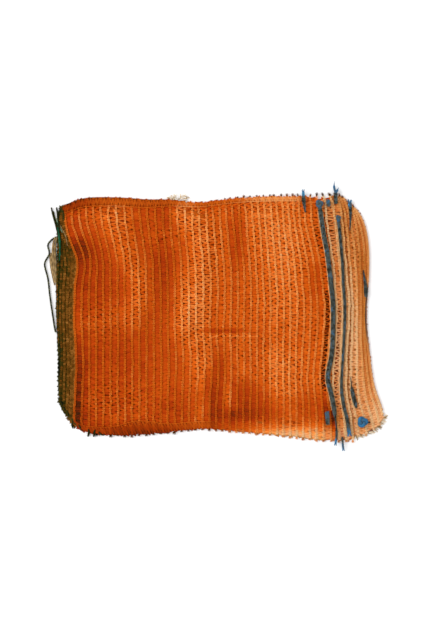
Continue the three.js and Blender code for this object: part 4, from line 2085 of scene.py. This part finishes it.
            # A painted highlight at regular steps along each strand.
            yarns.append(Yarn(points, girth, tones + mottle + self.shine * np.sin(turn * 1.5) ** 8))
        if run.end is StringEnd.FORKED:
            yarns.extend(self._fork(line, width * line.gain[-1], draws))
        yarns.extend(self._prong(route, line.points[-1][2]) for route in run.prongs)
        if run.start is StringEnd.KNOTTED:
            yarns.append(self._knot(line.points[0], run.knot_radius, self.small_knot_tone))
        return yarns

    def _prong(self, route: Shares, height: float) -> Yarn:
        """Lays one bright bunch of fibres that runs out to a point.

        Args:
            route: Its route in plan.
            height: The height at which it lies.

        Returns:
            The bunch.
        """
        share = np.linspace(0.0, 1.0, self.prong_steps)
        points = raised(self.form.curve(route).at(share), np.full(self.prong_steps, height))
        girths = self.prong_girth * np.interp(share, *np.array(self.prong_profile).T)
        return Yarn(points, girths, np.linspace(*self.prong_tones, self.prong_steps))

    def _fork(self, line: StringLine, width: float, draws: np.random.Generator) -> list[Yarn]:
        """Splits a string's end into two bunches of bright fibres.

        Args:
            line: The string's middle line.
            width: The string's width at its end.
            draws: The source of random draws.

        Returns:
            The fibres.
        """
        fibres = []
        share = np.linspace(0.0, 1.0, self.fork_steps)
        longest, shortening = self.fork_shortening
        root, opening = self.fork_opening
        for lean in self.fork_leans:
            reach = width * draws.uniform(*self.fork_reaches) * (longest - shortening * abs(lean))
            spread = self.fork_spread * lean * width * (root + opening * share)
            bend = draws.uniform(-self.fork_bend, self.fork_bend) * width * share**2
            points = line.points[-1] + line.along[-1] * (share * reach)[:, None]
            points += line.over[-1] * (spread + bend)[:, None]
            girths = width * self.fork_girth * (1.0 - self.fork_thinning * share)
            fibres.append(Yarn(points, girths, np.full(self.fork_steps, draws.uniform(*self.fork_tones))))
        return fibres

    def _knot(self, middle: Array, radius: float, tone: float) -> Yarn:
        """Ties an overhand knot.

        Args:
            middle: The knot's middle.
            radius: The size of its loops.
            tone: Its middle tone.

        Returns:
            The knot's yarn.
        """
        turn = np.linspace(0.0, 2.0 * TURN, self.knot_steps)
        swing = 1.5 * turn
        reach = radius * (2.0 + np.cos(swing)) / 2.0
        points = middle + np.stack(
            (reach * np.cos(turn), reach * np.sin(turn), radius * np.sin(swing) / 2.0), axis=-1
        )
        tones = tone + self.knot_mottle * np.sin(swing + 1.0)
        return Yarn(points, np.full(self.knot_steps, self.knot_girth * radius), tones)

    def _knot_tail(self, middle: Array) -> Yarn:
        """Lays the short dark end that comes out of the knot towards the mouth.

        Args:
            middle: The knot's middle.

        Returns:
            The end.
        """
        count = self.tail_steps
        steps = np.linspace(0.0, 1.0, count)[:, None] * self.tail_run * self.knot_radius
        girths = np.full(count, self.tail_girth * self.knot_radius)
        return Yarn(middle + steps, girths, np.linspace(*self.tail_tones, count))

    def _channel(self, run: StringRun) -> list[Yarn]:
        """Runs a pale yarn along both sides of a string, where the net's chains hold it.

        Args:
            run: The string.

        Returns:
            The two yarns.
        """
        line = self._line(run)
        width, thickness = run.size.value
        half = width * line.gain / 2.0 + self.channel_gap
        first, last = self.channel_stretch
        keep = (line.shares > first) & (line.shares < last)
        bead, beads = self.channel_beads
        middle, lean, mottle = self.channel_tones
        long_wave, short_wave = self.channel_waves
        yarns = []
        for side in (-1.0, 1.0):
            points = line.points + line.over * (side * half)[:, None] - UP * (self.channel_drop * thickness)
            girths = self.channel_girth * (1.0 + bead * np.sin(line.walk * beads + side))
            waves = np.sin(line.walk * long_wave + side) * np.sin(line.walk * short_wave)
            yarns.append(Yarn(points[keep], girths[keep], (middle + lean * side + mottle * waves)[keep]))
        return yarns

    def build(self) -> None:
        """Lays every string and dresses it."""
        blue = self.finish.material()
        channels = [yarn for run in self.runs[:2] for yarn in self._channel(run)]
        for number, run in enumerate(self.runs):
            piece = self.shop.sweep(run.name, self._plait(run, SEED + 10 + number), blue)
            dress(piece, Slot.DRAWSTRING, [run.node])
        low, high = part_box("drawstring_knot")
        middle = np.array((low + high) / 2.0)
        knot = [self._knot(middle, self.knot_radius, self.knot_tone), self._knot_tail(middle)]
        dress(self.shop.sweep("string_knot", knot, blue), Slot.DRAWSTRING, ["drawstring_knot"])
        dress(self.shop.sweep("channel_yarns", channels, self.channel_finish.material(), sides=5), Slot.NET)


@dataclass(frozen=True)
class StrayYarn:
    """A yarn that lies loose on the net or past its edge."""

    route: Shares
    girth: float
    tone: float


@dataclass
class EdgeYarns:
    """The thick selvedge along the bottom fold and the stray yarns at the corners."""

    form: BagForm
    shop: Workshop
    step: float = 0.0008
    stray_smoothing: int = 3
    stray_taper: float = 0.45
    stray_mottle: Pair = (0.12, 40.0)
    selvedge_girth: float = 0.0011
    selvedge_height: float = 0.0016
    selvedge_twists: float = 26.0
    selvedge_bob: float = 0.0005
    selvedge_offset: Pair = (0.0006, 0.0007)
    selvedge_beads: Triple = (0.85, 0.25, 1.7)
    selvedge_tones: Triple = (0.12, 0.30, 0.23)
    rim_girth: float = 0.0008
    rim_stretch: Pair = (0.05, 0.99)
    rim_darkening: tuple[Pair, Pair] = ((0.26, 0.46), (0.60, 0.64))
    rim_thickening: float = 0.5
    rim_tones: Pair = (0.75, 0.05)
    corner_fibres: int = 60
    corner_stretch: Pair = (0.1, 1.0)
    corner_headings: Pair = (-1.35, 0.15)
    corner_spread: float = 0.35
    tuft_fibres: int = 54
    tuft_place: Pair = (-0.123, 0.484)
    tuft_reach: Pair = (0.0105, 0.0022)
    tuft_headings: Pair = (-0.3, math.pi + 0.3)
    tuft_paling: float = 0.35
    fibre_steps: int = 8
    fibre_reach: Pair = (0.003, 0.0065)
    fibre_bend: float = 1.2
    fibre_heights: Pair = (0.0014, 0.0030)
    fibre_fall: float = 0.5
    fibre_girths: Pair = (0.00035, 0.00055)
    fibre_thinning: float = 0.4
    fibre_tones: Pair = (0.0, 1.1)
    greens: YarnFinish = YarnFinish(
        "dark green selvedge",
        srgb(14, 16, 4), srgb(28, 30, 6), srgb(72, 66, 22), srgb(128, 118, 62), srgb(160, 150, 100),
    )
    bright: YarnFinish = YarnFinish(
        "bright green yarn",
        srgb(6, 30, 16), srgb(10, 50, 26), srgb(18, 78, 50), srgb(96, 140, 110), srgb(196, 210, 184),
    )
    pale: YarnFinish = YarnFinish(
        "pale frayed yarn",
        srgb(70, 58, 40), srgb(124, 100, 64), srgb(196, 162, 112), srgb(242, 224, 196), srgb(244, 240, 234),
    )
    rim: YarnFinish = YarnFinish(
        "brown rim yarn",
        srgb(40, 30, 24), srgb(70, 52, 40), srgb(170, 112, 66), srgb(224, 164, 116), srgb(240, 200, 170),
    )
    dark_yarns: tuple[StrayYarn, ...] = (
        StrayYarn(((-0.513, 0.448), (-0.508, 0.421), (-0.499, 0.380), (-0.491, 0.331)), 0.0013, 0.05),
        StrayYarn(((-0.506, 0.432), (-0.502, 0.405), (-0.495, 0.372), (-0.489, 0.330)), 0.0010, 0.15),
        StrayYarn(((-0.497, 0.448), (-0.494, 0.425), (-0.490, 0.389), (-0.485, 0.350)), 0.0013, 0.05),
        StrayYarn(((-0.488, 0.455), (-0.482, 0.442), (-0.476, 0.425), (-0.474, 0.395)), 0.0010, 0.25),
        StrayYarn(((-0.398, -0.458), (-0.397, -0.474), (-0.401, -0.489)), 0.0014, 0.05),
        StrayYarn(((-0.378, -0.460), (-0.381, -0.476), (-0.383, -0.490)), 0.0014, 0.05),
        StrayYarn(((-0.366, -0.468), (-0.362, -0.478), (-0.352, -0.484)), 0.0012, 0.15),
        StrayYarn(((-0.446, -0.425), (-0.449, -0.440), (-0.446, -0.456)), 0.0012, 0.10),
        StrayYarn(((-0.428, -0.438), (-0.424, -0.450), (-0.416, -0.460)), 0.0011, 0.15),
        StrayYarn(((-0.472, -0.372), (-0.474, -0.388), (-0.466, -0.400)), 0.0011, 0.20),
        StrayYarn(((-0.460, -0.392), (-0.460, -0.402), (-0.457, -0.412)), 0.0010, 0.10),
    )
    green_yarns: tuple[StrayYarn, ...] = (
        StrayYarn(((-0.496, 0.389), (-0.490, 0.348), (-0.485, 0.303), (-0.487, 0.230)), 0.0011, 0.40),
        StrayYarn(((-0.491, 0.340), (-0.487, 0.300), (-0.484, 0.250)), 0.0008, 0.65),
        StrayYarn(((-0.502, 0.409), (-0.494, 0.390), (-0.486, 0.372)), 0.0006, 1.15),
        StrayYarn(((-0.496, 0.398), (-0.488, 0.372), (-0.478, 0.345)), 0.0006, 1.0),
    )
    pale_yarns: tuple[StrayYarn, ...] = (
        StrayYarn(((-0.496, 0.325), (-0.501, 0.280), (-0.500, 0.228), (-0.497, 0.130)), 0.0016, 0.06),
        StrayYarn(((-0.500, 0.328), (-0.507, 0.295), (-0.507, 0.240), (-0.500, 0.140)), 0.0015, 0.14),
        StrayYarn(((-0.506, 0.268), (-0.5125, 0.243), (-0.512, 0.212), (-0.502, 0.140)), 0.0014, 0.18),
        StrayYarn(((-0.513, 0.262), (-0.5165, 0.243), (-0.513, 0.200), (-0.503, 0.130)), 0.0011, 0.02),
        StrayYarn(((-0.497, 0.405), (-0.484, 0.372), (-0.468, 0.330), (-0.462, 0.290)), 0.0005, 0.10),
    )

    def _stray(self, yarn: StrayYarn) -> Yarn:
        """Lays one stray yarn on what is below it, thinner towards its ends.

        Args:
            yarn: Its route and size.

        Returns:
            The yarn.
        """
        plan = self.form.curve(yarn.route)
        share = np.linspace(0.0, 1.0, max(8, round(plan.length / self.step)))
        spots = plan.at(share)
        points = raised(spots, blurred(self.form.resting(spots) + yarn.girth, self.stray_smoothing))
        girths = yarn.girth * (1.0 - self.stray_taper * (1.0 - np.sin(math.pi * share)))
        mottle, waves = self.stray_mottle
        return Yarn(points, girths, yarn.tone + mottle * np.sin(share * waves))

    def _rim(self) -> Yarn:
        """Runs a brown yarn round the back mouth, darker where the back string lies inside it.

        Returns:
            The yarn.
        """
        count = round(self.form.strip_area.right.length / self.step)
        v = np.linspace(*self.rim_stretch, count)
        begin, cease = self.rim_darkening
        dark = smoothstep(v, *begin) * (1 - smoothstep(v, *cease))
        girths = self.rim_girth * (1.0 + self.rim_thickening * dark)
        return Yarn(self.form.strip(np.ones(count), v), girths, np.interp(dark, (0.0, 1.0), self.rim_tones))

    def _frayed(self) -> list[Yarn]:
        """Draws the short loose fibres at the near corner of the mouth and a tuft on the far seam.

        Returns:
            The fibres.
        """
        draws = np.random.default_rng(SEED + 40)
        shares = np.arange(self.corner_fibres) / self.corner_fibres
        roots = self.form.curve(self.form.near_cut).at(np.interp(shares, (0.0, 1.0), self.corner_stretch))
        headings = np.interp(shares, (0.0, 1.0), self.corner_headings)
        fibres = []
        for root, heading in zip(roots, headings):
            swerve = draws.uniform(-self.corner_spread, self.corner_spread)
            fibres.append(self._fibre(root, heading + swerve, draws))
        middle = self.form.plan([self.tuft_place])[0]
        for _ in range(self.tuft_fibres):
            root = middle + draws.uniform(-1.0, 1.0, 2) * self.tuft_reach
            heading = draws.uniform(*self.tuft_headings)
            fibres.append(self._fibre(root, heading, draws, self.tuft_paling))
        return fibres

    def _fibre(self, root: Array, heading: float, draws: np.random.Generator, gain: float = 0.0) -> Yarn:
        """Draws one short bent fibre.

        Args:
            root: Where it starts in plan.
            heading: Which way it points in plan, in radians from +X.
            draws: The source of random draws.
            gain: How much paler it is than the others.

        Returns:
            The fibre.
        """
        count = self.fibre_steps
        share = np.linspace(0.0, 1.0, count)
        reach = draws.uniform(*self.fibre_reach)
        turn = heading + draws.uniform(-self.fibre_bend, self.fibre_bend) * share
        plan = root + np.cumsum(np.stack((np.cos(turn), np.sin(turn)), axis=-1) * reach / count, axis=0)
        points = raised(plan, draws.uniform(*self.fibre_heights) * (1.0 - self.fibre_fall * share))
        girths = draws.uniform(*self.fibre_girths) * (1.0 - self.fibre_thinning * share)
        return Yarn(points, girths, np.full(count, gain + draws.uniform(*self.fibre_tones)))

    def _selvedge(self) -> list[Yarn]:
        """Twists two thick yarns along the bottom fold.

        Returns:
            The yarns.
        """
        fold = self.form.front_area.left
        share = np.linspace(0.0, 1.0, round(fold.length / self.step))
        spots = self.form.drifted(fold.at(share), np.ones(len(share)))
        side = unit(np.gradient(spots, axis=0))[:, ::-1] * (1.0, -1.0)
        offset, sway = self.selvedge_offset
        girth, bead, beads = self.selvedge_beads
        tone, mottle, waves = self.selvedge_tones
        yarns = []
        for phase in (0.0, math.pi):
            turn = TURN * self.selvedge_twists * share + phase
            plan = spots + side * (offset + sway * np.sin(turn))[:, None]
            points = raised(plan, self.selvedge_height + self.selvedge_bob * np.cos(turn))
            girths = self.selvedge_girth * (girth + bead * np.sin(turn * beads))
            yarns.append(Yarn(points, girths, tone + mottle * np.sin(turn * waves)))
        return yarns

    def build(self) -> None:
        """Lays every edge yarn and dresses it."""
        strays = (self.dark_yarns, self.green_yarns, self.pale_yarns)
        dark, green, pale = ([self._stray(yarn) for yarn in yarns] for yarns in strays)
        faded = self.pale.material()
        pieces = (
            ("selvedge_yarns", self._selvedge() + dark, self.greens.material(), Slot.BOTTOM_YARN),
            ("bright_green_yarns", green, self.bright.material(), Slot.BOTTOM_YARN),
            ("pale_yarns", pale, faded, Slot.BOTTOM_YARN),
            ("frayed_fibres", self._frayed(), faded, Slot.NET, 4),
            ("mouth_rim", [self._rim()], self.rim.material(), Slot.NET),
        )
        for name, yarns, finish, slot, *sides in pieces:
            dress(self.shop.sweep(name, yarns, finish, *sides), slot)


@dataclass
class LooseThread:
    """The thread that has pulled out of the bottom edge and lies beside it."""

    form: BagForm
    shop: Workshop
    route: Shares = (
        (-0.4975, 0.326), (-0.511, 0.316), (-0.523, 0.294), (-0.519, 0.258), (-0.533, 0.217),
        (-0.523, 0.156), (-0.517, 0.086), (-0.509, 0.012), (-0.503, -0.04), (-0.4995, -0.062),
    )
    diameter: float = 0.0019
    step: float = 0.0010
    tones: Triple = (0.4, 0.3, 90.0)
    twist: Triple = (1.06, 0.16, 260.0)
    finish: YarnFinish = YarnFinish(
        "dark green thread",
        srgb(12, 14, 8), srgb(24, 26, 14), srgb(52, 54, 30), srgb(100, 100, 66), srgb(150, 150, 120),
    )

    def build(self) -> None:
        low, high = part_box("loose_thread")
        plan = self.form.curve(self.route)
        count = round(plan.length / self.step)
        share = np.linspace(0.0, 1.0, count)
        points = raised(plan.at(share), np.full(count, (low.z + high.z) / 2.0))
        tone, mottle, waves = self.tones
        girth, bead, twists = self.twist
        girths = self.diameter / 2.0 * (girth + bead * np.sin(share * twists))
        yarn = Yarn(points, girths, tone + mottle * np.sin(share * waves))
        piece = self.shop.sweep("loose_thread_yarn", [yarn], self.finish.material(), sides=8)
        dress(piece, Slot.BOTTOM_YARN, ["loose_thread"])


@dataclass
class Studio:
    """A pale floor, soft light and a camera that looks straight down."""

    form: BagForm
    picture_width: int = 421
    picture_height: int = 631
    metres_a_pixel: float = 0.0012275
    bag_middle_pixel: Pair = (218.5, 317.0)
    camera_height: float = 1.6
    sensor: float = 36.0
    floor_size: float = 6.0
    floor_colour: tuple[float, ...] = (0.98, 0.98, 0.98, 1.0)
    floor_roughness: float = 0.9
    sky_strength: float = 0.90
    sun_strength: float = 1.55
    sun_tilt: float = math.radians(52.0)
    sun_turn: float = math.radians(-105.0)
    sun_spread: float = math.radians(40.0)

    def build(self) -> None:
        """Sets up the floor, the light and the camera."""
        self._floor()
        self._light()
        self._camera()

    def _floor(self) -> None:
        """Makes the floor that the bag lies on."""
        half = self.floor_size / 2.0
        mesh = bpy.data.meshes.new("floor")
        corners = [(-half, -half, 0.0), (half, -half, 0.0), (half, half, 0.0), (-half, half, 0.0)]
        mesh.from_pydata(corners, [], [(0, 1, 2, 3)])
        floor = bpy.data.objects.new("floor", mesh)
        bpy.context.scene.collection.objects.link(floor)
        paint = {"Base Color": self.floor_colour, "Roughness": self.floor_roughness}
        mesh.materials.append(Shading("pale floor").close(paint))

    def _light(self) -> None:
        """Lights the bag by an even sky and a broad low sun."""
        scene = bpy.context.scene
        world = bpy.data.worlds.new("studio sky")
        world.use_nodes = True
        sky = world.node_tree.nodes["Background"]
        sky.inputs["Color"].default_value = (1.0, 1.0, 1.0, 1.0)
        sky.inputs["Strength"].default_value = self.sky_strength
        scene.world = world
        sun = bpy.data.lights.new("soft key", "SUN")
        sun.energy = self.sun_strength
        sun.angle = self.sun_spread
        key = bpy.data.objects.new("soft key", sun)
        key.rotation_euler = (self.sun_tilt, 0.0, self.sun_turn)
        scene.collection.objects.link(key)
        scene.view_settings.view_transform = "Standard"

    def _camera(self) -> None:
        """Puts the camera straight above, framed as the photograph is."""
        scene = bpy.context.scene
        data = bpy.data.cameras.new("camera")
        data.sensor_fit = "VERTICAL"
        data.sensor_height = self.sensor
        data.lens = self.sensor * self.camera_height / (self.picture_height * self.metres_a_pixel)
        camera = bpy.data.objects.new("camera", data)
        off_x = (self.picture_width / 2.0 - self.bag_middle_pixel[0]) * self.metres_a_pixel
        off_y = (self.bag_middle_pixel[1] - self.picture_height / 2.0) * self.metres_a_pixel
        x, y = self.form.shift + (off_x, off_y)
        camera.location = (x, y, self.camera_height)
        scene.collection.objects.link(camera)
        scene.camera = camera


def main() -> None:
    """Builds the bag's pieces in order."""
    logging.basicConfig(level=logging.INFO, format="%(name)s: %(message)s")
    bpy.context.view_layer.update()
    form = BagForm()
    shop = Workshop()
    Studio(form).build()
    LooseThread(form, shop).build()
    net = NetBag(form, shop)
    net.build()
    SideSeams(form, shop, net.tone).build()
    EdgeYarns(form, shop).build()
    Drawstrings(form, shop).build()


if __name__ == "__main__":
    main()
